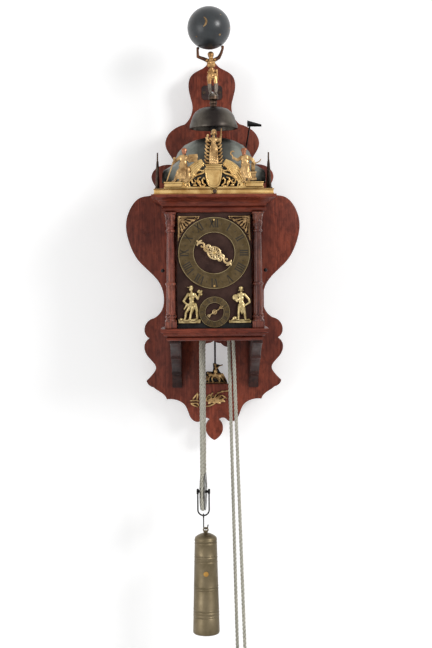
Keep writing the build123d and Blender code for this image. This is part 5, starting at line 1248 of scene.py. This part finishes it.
class CLOCK_OT_front_fret(bpy.types.Operator):
    """Cast the front fret with its shield, leafy brackets and scrolls"""
    bl_idname = "clock.front_fret"
    bl_label = "Front fret"

    def execute(self, context):
        shown(eased("brass_cornice", 0.9), "brass_bar_eased", "case", "polished_brass",
              "bright brass", ["brass_cornice"])
        paint("dark brass", "door_pins")
        paint("black iron", "door_knob_left", "door_knob_right")
        with editing(eased("fasteners", 0.15)):
            bpy.ops.mesh.separate(type="LOOSE")
        for number, screw in enumerate(list(context.selected_objects)):
            level = screw.data.vertices[0].co.z / MM
            shown(screw, f"fastener_{number}", "case", "polished_brass",
                  "bright brass" if level < -225 else "dark brass",
                  () if number else ["fasteners"])
        bar_face = -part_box("brass_cornice")[0].y / MM
        washer = turned([(3.3, -0.1), (3.3, 1.5), (3.8, 2), (4.5, 1.8), (4.8, 1.1), (4.9, -0.1),
                         (3.3, -0.1)], (BELL_X, bar_face, BAR_SCREW_Z), 40, FACING)
        shown(washer, "screw_washer", "case", "polished_brass", "bright brass")
        pieces = [block(-84, 84, BAR_TOP, -185.2, FRET_REAR, 3.8)]
        for side in (-1, 1):
            for near, far, low, high, thick in ((54, 83, -185.4, -179, 11),
                                                (52.6, 84, -179.4, -177.4, 12.5)):
                pieces.append(block(side * near, side * far, low, high, FRET_REAR, thick))
        shield = [(-14.4, -154.6), (-14.6, -158.6), (-13.6, -168), (-12, -176), (-10, -182),
                  (-7.6, -185), (-3.4, -186.8), (0, -187.4)]
        shield = shield + [(-x, z) for x, z in shield[-2::-1]]
        pieces.append(cut_out([shield], FRET_REAR, 5.4, 0.9))
        inner = [(x * 0.82, -171 + (z + 171) * 0.85) for x, z in shield]
        pieces.append(cut_out([shield, inner], 213.6, 1.4, 0.5))
        for low, high, half, thick in ((-155.6, -153.4, 15, 7.8), (-153.6, -149.6, 13, 6.4),
                                       (-149.8, -147.8, 14.6, 7.7)):
            pieces.append(block(-half, half, low, high, FRET_REAR, thick, 0.7))
        plate = joined(*pieces)
        lumps = []
        for side in (-1, 1):
            lumps += acanthus(side, 0.8, FRET_LEAF)
            for curl in FRET_SCROLLS:
                lumps += flat_limbs(0, [[(side * x, z, r) for x, z, r in curl]])
            for step in range(5):
                share = step / 4
                lumps.append((side * (18 + 31 * share), 1.6, -148.6 - 33 * share, 3.4, 1.8, 1.5,
                              side * 62))
            lumps += [(side * 24.4, 0.6, -178, 2.6, 1.8, 4, side * -16),
                      (side * 31.6, 0.4, -182.6, 3.6, 1.6, 2, 0),
                      (side * 18, 0.4, -184.6, 3, 1.6, 1.8, 0),
                      (side * 45, 0.2, -184.8, 2.6, 1.5, 1.8, 0)]
        carving = clay(lumps, 0.4, 2, FRET_REAR, depth=210.6)
        shown(joined(carving, plate), "fret_casting", "case", "polished_brass", "bright brass",
              ["front_fret"], 55)
        steps = list(SIDE_FRET_EDGE)
        steps += [(236 - u, z) for u, z in steps[-2::-1]]
        holes = [oval(*hole, steps=20) for hole in SIDE_FRET_HOLES]
        frets = []
        for side in (-1, 1):
            for outline, thick in (
                    (steps, 2.4),
                    ([(56, -188.2), (62, -180), (74, -168), (88, -158), (100, -146), (110, -138),
                      (118, -134), (126, -138), (136, -146), (148, -158), (162, -168), (174, -180),
                      (180, -188.2)], 4),
                    ([(52, -188.2), (52, -184.4), (184, -184.4), (184, -188.2)], 6)):
                inside = [[(u, z) for u, z, share in hole] for hole in holes] if thick < 6 else []
                fret = cut_out([outline] + inside, 0, thick, 0.6)
                fret.rotation_euler = (0, 0, -pi / 2)
                fret.location = ((side * 97.6 + thick / 2) * MM, 0, 0)
                frets.append(settled(fret))
        shown(joined(*frets), "side_frets_cut", "case", "aged_brass", "dark brass", ["side_frets"])
        return {"FINISHED"}


# Lumps, with their depths from the figure's own
CENTRE_BODY = [
    (1, 1.4, -94.4, 3.5, 3.6, 4.4, 0), (1, 0, -92.6, 4.2, 3.8, 4, 0), (1, 4.8, -95, 0.8),
    (4.6, -0.6, -96.6, 1.8), (-2.8, -0.6, -96.6, 1.8), (0.8, 0, -98.6, 2, 0.6, 0, -102, 2.4),
    (0.4, 0, -107, 6.4, 3.8, 5.2, 0), (0.2, 0.4, -114, 5, 3.6, 5.6, 0),
    (0, 0.4, -121, 5.6, 3.8, 6, 0), (0, 0.4, -130, 6.6, 4, 8, 0), (0, 0.2, -141, 7, 4, 8, 0)
]
CENTRE_ARMS = [
    (-5.6, 0, -105, 2.4, -11, 1.4, -108.6, 2.1), (-11, 1.4, -108.6, 2, -9.6, 2.6, -100.6, 1.6),
    (-9.4, 2.6, -99, 2), (6.2, 0, -105, 2.4, 11.4, 1.4, -107, 2.1),
    (11.4, 1.4, -107, 2, 12.6, 2.2, -99, 1.6), (12.8, 2.2, -97.6, 1.9),
    (12.8, 2, -97, 0.9, 13.4, 2, -88, 0.7)
]


class CLOCK_OT_centre_figure(bpy.types.Operator):
    """Chase the standing figure between its rows of feathered leaves"""
    bl_idname = "clock.centre_figure"
    bl_label = "Centre figure"

    def execute(self, context):
        lumps = CENTRE_BODY + CENTRE_ARMS
        folds = ((-5, -1.4), (-2.4, -0.6), (0.4, 0.4), (3, 0.8), (5.4, 1.4))
        for fold, (x, aside) in enumerate(folds):
            lumps.append((x, 3, -118 - fold % 2 * 3, 1.2, x + aside, 3, -146.4, 1.7))
        lumps += [(-6, 2.6, -104, 1.2, 4.4, 3.4, -116, 1.4), (0, 3.2, -117, 5, 1.4, 1.4, -8)]
        for fold in range(5):
            lumps.append((-5.4, 3.6, -121 - fold * 5, 1, 5.6, 3.8, -126.6 - fold * 4.2, 1.2))
        for row in range(7):
            height = -146.4 + row * 6.1
            reach = 1 - row * 0.03
            for side in (-1, 1):
                root, tip = side * 6.4, side * 15.4 * reach
                lumps += [(root, -0.4, height, 2.2, side * 11.6 * reach, 1, height + 2.2, 2.3),
                          (side * 11.6 * reach, 1, height + 2.2, 2.2, tip, 2, height + 7, 0.9),
                          (root, 2.2, height + 0.4, 0.8, side * 12.4 * reach, 3.2,
                           height + 3.6, 0.7)]
        shown(clay(lumps, 0.38, 1, FRET_REAR, 1.08, 212.6), "centre_figure_cast", "case",
              "polished_brass", "relief brass", ["centre_figure"], 60)
        return {"FINISHED"}


# Lumps, with their depths from the figure's own; the first ones are the head
SEATED_LEFT = [
    (-49.4, 0.6, -123.4, 3.4, 3.5, 4.2, 0), (-49.4, -0.4, -121.8, 4, 3.9, 3.7, 0),
    (-49.6, 3.8, -124, 0.8), (-49.4, 1.6, -127, 2.8, 2.6, 2.6, 0),
    (-49.6, 0, -127, 2, -50, 0, -130.6, 2.2), (-50.6, 0, -136, 6.4, 4.2, 5.6, 0),
    (-51, 0, -143.6, 5.4, 4.2, 6, 0), (-51.6, 0, -151, 6, 4.6, 5, 0),
    (-56, 0, -133.6, 2.6, -63, 1, -139.6, 2.3), (-63, 1, -139.6, 2.2, -67, 2.4, -143.6, 1.8),
    (-67.6, 2.4, -144.4, 2), (-66, 2.4, -136.6, 1, -79, 2.4, -176.6, 0.9), (-66, 2.4, -135.6, 1.7),
    (-45.4, 0, -134, 2.6, -40.6, 1.2, -141, 2.3), (-40.6, 1.2, -141, 2.2, -37.6, 2.4, -136.6, 1.8),
    (-52, 1, -153, 4.2, -58.6, 3, -160, 3.6), (-58.6, 3, -160, 3.5, -65, 1, -174, 2.2),
    (-49, 1.6, -154, 4, -53, 3.4, -162, 3.4), (-53, 3.4, -162, 3.3, -56.6, 1, -175, 2.2),
    (-67.6, 2.4, -176.6, 3.2, 2.4, 1.6, 12), (-58.6, 2.4, -176.6, 3.2, 2.4, 1.6, 12),
    (-46, -1, -158, 5.6, 3.6, 7, -18), (-45.6, -1, -168, 6, 3.6, 8, -10),
    (-51, -1, -170, 6.4, 3.8, 6, 0)
]
SEATED_RIGHT = [
    (51, 0.6, -124.2, 3.4, 3.5, 4.2, 0), (51.2, -0.2, -121, 4.2, 4, 2.8, 10),
    (51, 0.4, -122, 4.6, 4.2, 1.3, 8), (50.6, 3.9, -125, 0.8), (51, 1.8, -128.4, 2.6, 2.4, 3, 0),
    (51, 0, -127.6, 2, 51.6, 0, -131, 2.2), (52.6, 0, -136.4, 6.8, 4.2, 5.6, 0),
    (53, 0, -143.6, 5.8, 4.2, 5.6, 0), (53.6, 0, -151, 6.4, 4.6, 5, 0),
    (47, 0, -134.6, 2.6, 41, 1.4, -139.4, 2.2), (41, 1.4, -139.4, 2.1, 34.6, 2.6, -136.6, 1.7),
    (33.4, 2.6, -135.6, 1.9), (58.4, 0, -134.6, 2.8, 65.4, 1, -138.6, 2.4),
    (65.4, 1, -138.6, 2.3, 68, 2.4, -143.6, 1.8), (68.4, 2.4, -144.4, 1.9),
    (68.4, 2.4, -146.4, 1, 73.4, 2.4, -144, 0.9), (73.4, 2.4, -144, 0.9, 77.6, 2.4, -141.4, 0.8),
    (77.6, 2.4, -141.4, 0.8, 79.4, 2.4, -138.4, 0.7),
    (50.6, 1.4, -153, 4.2, 47.4, 3.4, -159.6, 3.5), (47.4, 3.4, -159.6, 3.4, 53, 2, -173, 2.2),
    (56, 1.4, -153, 4.4, 55.4, 3.4, -161, 3.6), (55.4, 3.4, -161, 3.5, 60, 2, -174, 2.2),
    (50.6, 3, -176.4, 3.2, 2.4, 1.6, 0), (58.4, 3, -176.6, 3.2, 2.4, 1.6, 0)
]


class CLOCK_OT_seated_figures(bpy.types.Operator):
    """Chase the two seated figures on the front fret"""
    bl_idname = "clock.seated_figures"
    bl_label = "Seated figures"

    def execute(self, context):
        left = list(SEATED_LEFT)
        for fold in range(6):
            left.append((-47.6 - fold * 1.2, 3.4, -150 - fold, 1, -49 - fold * 1.5 * 2, 4.6,
                         -171, 1.3))
        left += [(-46, 3.6, -131.6, 1.1, -56, 3.8, -145, 1.3),
                 (-45.4, 2.6, -147, 1.6, -57, 3.4, -148.6, 1.6)]
        right = list(SEATED_RIGHT)
        for fold in range(6):
            right.append((49 + fold * 1.8, 3.8, -149.6, 1, 47.6 + fold * 3, 4.6,
                          -168 - fold * 0.8, 1.3))
        right += [(47.6, 3.6, -133, 1.1, 57, 3.8, -146, 1.3),
                  (47.6, 3.2, -148, 1.6, 60, 3, -147.6, 1.6)]
        crescent = [(30.6, -131.8, 0.5), (28.8, -128.8, 0.9), (29.4, -125.4, 1.2),
                    (32.4, -123.8, 1), (35, -125, 0.5)]
        right += flat_limbs(2.6, [crescent])
        right.append((32.6, 2.6, -134, 0.8, 30.8, 2.6, -130, 0.8))

        def lowered(z):
            return -177 + (z + 177) * 0.955

        for side, lumps, in_head in (("left", left, 4), ("right", right, 5)):
            lumps = [(*lump[:2], lowered(lump[2]), *lump[3:6], lowered(lump[6]), lump[7])
                     if len(lump) == 8 else (*lump[:2], lowered(lump[2]), *lump[3:])
                     for lump in lumps]
            figure = clay(lumps, 0.4, 1, SEAT_REAR, 1.2, 218)
            if side == "left":
                extras = [cut_out([[(-42 + shift, -144 + shift), (-42.6 + shift, -131.4),
                                    (-27 - shift, -130.6), (-26.6 - shift, -144 + shift)]],
                                  219.6, thick, 0.4) for shift, thick in ((0, 1.3), (0.5, 2))]
            else:
                extras = [block(near, far, low, high, 212, thick)
                          for low, high, near, far, thick in ((-175.6, -171, 57, 72, 11.6),
                                                              (-171.2, -163.6, 59, 70.6, 10),
                                                              (-163.8, -160.6, 58, 72, 11.2))]
                extras.append(cut_out([[(63, -161), (63.4, -146), (66.4, -143.4), (69.6, -146),
                                        (70, -161)]], 212.4, 3, 0.6))
            head = clay(lumps[:in_head], 0.4, 1, SEAT_REAR, 1.22, 218)
            figure = joined(figure, *extras)
            rear = max(spot.co.y for spot in figure.data.vertices)
            front = min(spot.co.y for spot in figure.data.vertices)
            share = min((frame_box[0][1] + 0.0001 - rear) / (front - rear), 1)
            for part, forward in ((figure, 0), (head, 0.00004)):
                for spot in part.data.vertices:
                    spot.co.y = rear + (spot.co.y - rear) * share - forward
            shown(head, "seated_head_" + side, "case", "polished_brass", "bronzed heads",
                  smooth=60)
            shown(figure, "seated_figure_" + side, "case", "polished_brass", "relief brass",
                  ["seated_figures"] if side == "left" else (), 60)
        return {"FINISHED"}


# What hangs and swings


# Beads and grooves round the weight as (z, height of the bead)
WEIGHT_BEADS = [
    (-801.5, 0.5), (-804.6, -0.6), (-807, 0.45), (-827, 0.4), (-829, -0.5), (-831, 0.4),
    (-837.6, -0.4), (-839.6, 0.4), (-881.6, 0.4), (-884, -0.5), (-886.4, 0.4), (-888.4, -0.4),
    (-922.6, 0.4), (-925.4, -0.5), (-928, 0.5), (-933.4, 0.5), (-936, -0.5)
]


class CLOCK_OT_weight(bpy.types.Operator):
    """Turn the brass weight with its beads, domed top and medallion"""
    bl_idname = "clock.weight"
    bl_label = "Weight"

    def execute(self, context):
        low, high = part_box("weight")
        top, foot = -788.5, low.z / MM

        def side(z):
            return 19.7 + (23.8 - 19.7) * (z + 796.5) / (foot + 796.5)

        profile = [(0.1, top), (3, top), (5, top - 0.8), (10, top - 2.4), (15, top - 5),
                   (18.4, top - 7.6), (19.4, top - 9.4)]
        for level, deep in WEIGHT_BEADS:
            profile += [(side(level) - 0.25, level + 0.9), (side(level) + deep - 0.25, level),
                        (side(level) - 0.25, level - 0.9)]
        profile += [(23.5, foot + 5), (23.3, foot + 2.4), (22.2, foot + 0.8), (20.4, foot),
                    (0.1, foot)]
        axis = (WEIGHT_X, AXIS_DEPTH, 0)
        body = turned(profile, axis)
        neck = turned([(0.1, -784.6), (2.6, -784.6), (2.9, -786), (2.2, -787.4), (3.4, -788.2),
                       (4.6, -789.4), (0.1, -790)], axis, 32)
        clear()
        bpy.ops.mesh.primitive_torus_add(
            major_radius=0.004, minor_radius=0.0012, major_segments=40, minor_segments=12,
            location=(-0.0175, -0.112, (high.z / MM - 5.1) * MM), rotation=(pi / 2, 0, 0))
        eye = settled(context.object)
        shown(joined(body, neck, eye), "turned_weight", "weight_set", "aged_brass", "weight brass",
              ["weight"], 40)
        disc = turned([(0.1, 0), (4.3, 0), (4.5, 0.5), (4, 1), (3.4, 0.8), (0.1, 1.1)],
                      (WEIGHT_X, AXIS_DEPTH + side(-857.5) - 0.5, -857.5), 40, FACING)
        shown(disc, "weight_medallion", "weight_set", "aged_brass", "copper")
        paint("black iron", "weight_stirrup", "weight_hook", "counterweight")
        paint("bright iron", "weight_sheave")
        return {"FINISHED"}


# Outline as (x, z), lumps, and the legs as three (x, z) points
HORSE_PLATE = [
    [(-15, -541), (-15, -514.4), (-11, -513.4), (-2.4, -514), (-1, -508), (-1.6, -499.4),
    (0.4, -497.4), (3.4, -498.8), (7, -500.4), (12, -501.6), (17, -500.4), (16.4, -503), (9, -505),
    (8, -508), (11.4, -514.6), (16, -519), (19.6, -525), (23.6, -529), (25.4, -535), (25.4, -541)]
]
HORSE_AND_RIDER = [
    (4, 0, -521.6, 8.4, 2.4, 5.6, 0), (-6, 0, -520, 5, 2.4, 4.6, 10),
    (12, 0, -522, 4.6, 2.2, 5.4, 20), (3.4, 0.6, -513.6, 3.8, 2, 5, 8),
    (3.2, 0.4, -506.6, 2.4, 2, 3, 0), (3, 0.6, -502.6, 2.3),
    (2.8, 0.6, -500.2, 3.6, 1.6, 0.9, -10), (4.4, 0.8, -509, 1.5, 9.4, 0.8, -504.4, 1.1),
    (9.4, 0.8, -504.4, 0.8, 16, 0.4, -502, 0.7), (2, 1, -515.6, 2, 7, 1, -526, 1.7),
    (7, 1, -526, 1.6, 9, 1, -530, 1.2), (-10.6, 0, -517, 2.6),
    (-12.6, 0, -523, 2, -13.6, 0, -530, 1.3), (15.6, 0, -519, 2.2, 20, 0, -526, 1.8),
    (20, 0, -526, 1.6, 23, 0, -530.6, 1.1)
]
HORSE_LEGS = [
    ((-8, -524), (-10.6, -528.6), (-8.6, -533.4)), ((-3, -525), (-3.4, -529.6), (-0.6, -533.6)),
    ((10, -525), (12, -529.6), (9.6, -533.6)), ((14, -524), (17.4, -529), (20, -533))
]
# Stems as (x, z, radius), and leaves as (x, z, length, width, turn)
BRANCH_STEMS = [
    [(-31, -565, 1.1), (-22, -566.6, 1.1), (-14, -565, 1.2), (-6, -567, 1.3), (2, -569, 1.2)],
    [(-16, -575.6, 1), (-8, -574.6, 1.2), (0, -570.6, 1.3), (4, -566, 1.2)], [(0, -561, 1.2),
    (3.4, -554.6, 1.1), (8, -551, 1), (15, -548.4, 1), (24.6, -547.4, 0.8)], [(4, -560, 1),
    (9, -556, 1), (15, -555.6, 0.9), (18, -558, 0.7)], [(-14, -564, 1), (-13, -558, 0.9),
    (-9, -555, 0.8), (-6.4, -557, 0.7)], [(-5, -562, 1), (-6, -555.6, 0.9), (-3.6, -552.4, 0.7)],
    [(12, -564, 1), (19, -560, 0.9), (23.6, -561, 0.7)]
]
BRANCH_LEAVES = [
    (-34.6, -556.6, 6.2, 1.3, 52), (-30.6, -558, 4.6, 1.2, 78), (-37, -564.6, 6, 1.3, 4),
    (-36.4, -569.6, 5.6, 1.2, 0), (-36, -574, 6, 1.3, -24), (-30, -572, 4, 1.2, -50),
    (-4.4, -564, 6, 3, 12), (-7.6, -568.6, 3.6, 2, 40), (4.6, -564, 6.4, 3.6, -8),
    (11.4, -564.8, 5.4, 2.8, -4), (16.4, -566, 3.4, 1.4, -14), (7, -568.6, 4.6, 1.6, -20),
    (8, -559.6, 3.6, 1.4, 24), (15, -548.4, 2.6, 1.5, 20), (7.6, -551, 2, 1.3, 40),
    (24, -547.4, 2, 1.1, 0), (-16.6, -575.8, 2.6, 1.2, 0), (-9, -554.8, 2.2, 1.3, 20),
    (-3.4, -552, 1.9, 1.2, 60), (18.4, -558, 2.2, 1.2, -20)
]


class CLOCK_OT_pendulum(bpy.types.Operator):
    """Chase the horse and rider on the pendulum and the leafy branch below the window"""
    bl_idname = "clock.pendulum"
    bl_label = "Pendulum and branch"

    def execute(self, context):
        paint("black iron", "pendulum_rod")
        low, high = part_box("rider_bob")
        depth = -(low.y + high.y) / 2 / MM
        shape = cut_out(HORSE_PLATE, depth - 2.2, 1.6, 0.4)
        lumps = list(HORSE_AND_RIDER)
        for hip, knee, hoof in HORSE_LEGS:
            lumps += [(hip[0], 0, hip[1], 2.4, knee[0], 0.4, knee[1], 1.8),
                      (knee[0], 0.4, knee[1], 1.8, hoof[0], 0.4, hoof[1], 1.3)]
        lumps.append((-14, -0.4, -534, 1.1, 24, -0.4, -534, 1.1))
        shown(shape, "horse_and_rider_plate", "pendulum", "aged_brass", "black iron")
        shown(clay(lumps, 0.35, 1, depth=depth), "horse_and_rider", "pendulum", "aged_brass",
              "relief brass", ["rider_bob"], 60)

        lumps = flat_limbs(0, BRANCH_STEMS)
        for x, z, long, wide, turn in BRANCH_LEAVES:
            lumps.append((x, 0, z, long, 1, wide, turn))
        for x, z, x_end, z_end in ((-9, -565, -1, -562), (-1, -566.6, 8, -563),
                                   (5, -567, 15, -565.4), (3, -561.6, 12, -563.6)):
            lumps.append((x, 0.7, z, 0.6, x_end, 0.7, z_end, 0.5))
        shown(clay(lumps, 0.3, 1, 18, 1.3, 19.2), "leafy_branch", "case", "gilt", "relief brass",
              ["leaf_ornament"], 60)
        return {"FINISHED"}


class CLOCK_OT_movement(bpy.types.Operator):
    """Finish the wheels, plates and arbors inside the case"""
    bl_idname = "clock.movement"
    bl_label = "Movement"

    def execute(self, context):
        paint("gear brass", "going_great_wheel", "second_wheel", "escape_wheel", "hour_wheel",
              "strike_great_wheel", "pin_wheel", "fly")
        paint("black iron", "movement_plates", "movement_bars", "anchor")
        paint("rusted iron", "hanging_plate")
        return {"FINISHED"}


# Ropes

WEIGHT_ROUTE = [(2.5, -142, -318.8), (-23.7, -142, -318.8), (-23.7, -142, -355),
                (-23.7, -142, -712), (-23.7, -142, -746.3), (-18.5, -82, -746.3),
                (-18.5, -82, -712), (-18.5, -82, -360), (-18.5, -82, -324), (2.5, -82, -324)]
COUNTER_ROUTE = [(2.5, -142, -318.8), (28.7, -142, -318.8), (29.84, -140.86, -355),
                 (49.4, -121.1, -978), (50.5, -120, -1012.1), (37.5, -104, -1012.1),
                 (36.8, -102.9, -978), (24.2, -83.1, -360), (23.5, -82, -324), (2.5, -82, -324)]


def path_of(route):
    """The points of the smooth line that follows a route, in metres."""
    line = drawn([route], kind="NURBS", resolution=40)
    mesh = bpy.data.meshes.new_from_object(line)
    points = [v.co.copy() for v in mesh.vertices]
    bpy.data.meshes.remove(mesh)
    bpy.data.objects.remove(line)
    even, reach, step = [points[0]], 0.0, 0.0016
    for first, last in zip(points, points[1:]):
        run = (last - first).length
        while reach + step <= run + 1e-9:
            reach += step
            even.append(first.lerp(last, reach / run))
        reach -= run
    if (points[-1] - even[-1]).length > 1e-6:
        even[-1] = points[-1]
    return even


def twisted(route):
    """A laid rope along a route, and its centre line."""
    rope = settings().rope
    path = path_of(route)
    size = rope.thickness / MM
    side = Vector((0, 0, 1))
    turn, frames = 0.0, []
    for index, spot in enumerate(path):
        ahead = path[min(index + 1, len(path) - 1)] - path[max(index - 1, 0)]
        ahead.normalize()
        side = (side - ahead * side.dot(ahead))
        if side.length < 1e-6:
            side = ahead.orthogonal()
        side.normalize()
        if index:
            turn += (spot - path[index - 1]).length / rope.pitch * 2 * pi
        frames.append((spot, side.copy(), ahead.cross(side), turn))
    reach = size * 0.255
    lines = []
    for strand in range(rope.strands):
        start = 2 * pi * strand / rope.strands
        lines.append([(*((spot + (across * cos(twist + start) + up * sin(twist + start))
                          * reach * MM) / MM),) for spot, across, up, twist in frames])
    piece = drawn(lines, bevel_depth=size * 0.245 * MM, bevel_resolution=1, use_fill_caps=True)
    return cleaned(meshed(piece), 0.000001), path


class CLOCK_OT_ropes(bpy.types.Operator):
    """Lay the two loops of the endless rope"""
    bl_idname = "clock.ropes"
    bl_label = "Ropes"

    def execute(self, context):
        for node, route, body, start, end in (
                ("weight_rope", WEIGHT_ROUTE, "weight_set", (-0.0211, -0.112, -0.40),
                 (-0.0211, -0.112, -0.68)),
                ("counter_rope", COUNTER_ROUTE, "counterweight", (0.036, -0.112, -0.40),
                 (0.044, -0.112, -0.99))):
            piece, path = twisted(route)
            piece = shown(piece, node + "_laid", None, "rope", "rope fibre", [node], 60)
            run = sum((b - a).length for a, b in zip(path, path[1:]))
            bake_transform(piece)
            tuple(start)
            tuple(end)
            tuple(path[0])
            [tuple(p) for p in path]
        return {"FINISHED"}


CLASSES = (ClockWood, ClockMetal, ClockRope, ClockStudio, ClockSettings, CLOCK_OT_finishes,
           CLOCK_OT_studio, CLOCK_OT_ropes, CLOCK_OT_woodwork, CLOCK_OT_columns, CLOCK_OT_bells,
           CLOCK_OT_globe, CLOCK_OT_dial, CLOCK_OT_hands, CLOCK_OT_spandrels,
           CLOCK_OT_dial_figures, CLOCK_OT_front_fret, CLOCK_OT_centre_figure,
           CLOCK_OT_seated_figures, CLOCK_OT_weight, CLOCK_OT_pendulum, CLOCK_OT_movement)


class CLOCK_PT_workshop(bpy.types.Panel):
    """Lists the steps that dress the clock"""
    bl_label = "Bell clock"
    bl_space_type = "VIEW_3D"
    bl_region_type = "UI"
    bl_category = "Clock"

    def draw(self, context):
        for step in CLASSES:
            if issubclass(step, bpy.types.Operator):
                self.layout.operator(step.bl_idname)


def register():
    for item in (*CLASSES, CLOCK_PT_workshop):
        bpy.utils.register_class(item)
    bpy.types.Scene.bell_clock = PointerProperty(type=ClockSettings)


def unregister():
    del bpy.types.Scene.bell_clock
    for item in reversed((*CLASSES, CLOCK_PT_workshop)):
        bpy.utils.unregister_class(item)


def main():
    register()
    for step in CLASSES:
        if issubclass(step, bpy.types.Operator):
            group, action = step.bl_idname.split(".")
            getattr(getattr(bpy.ops, group), action)()


if __name__ == "__main__":
    main()
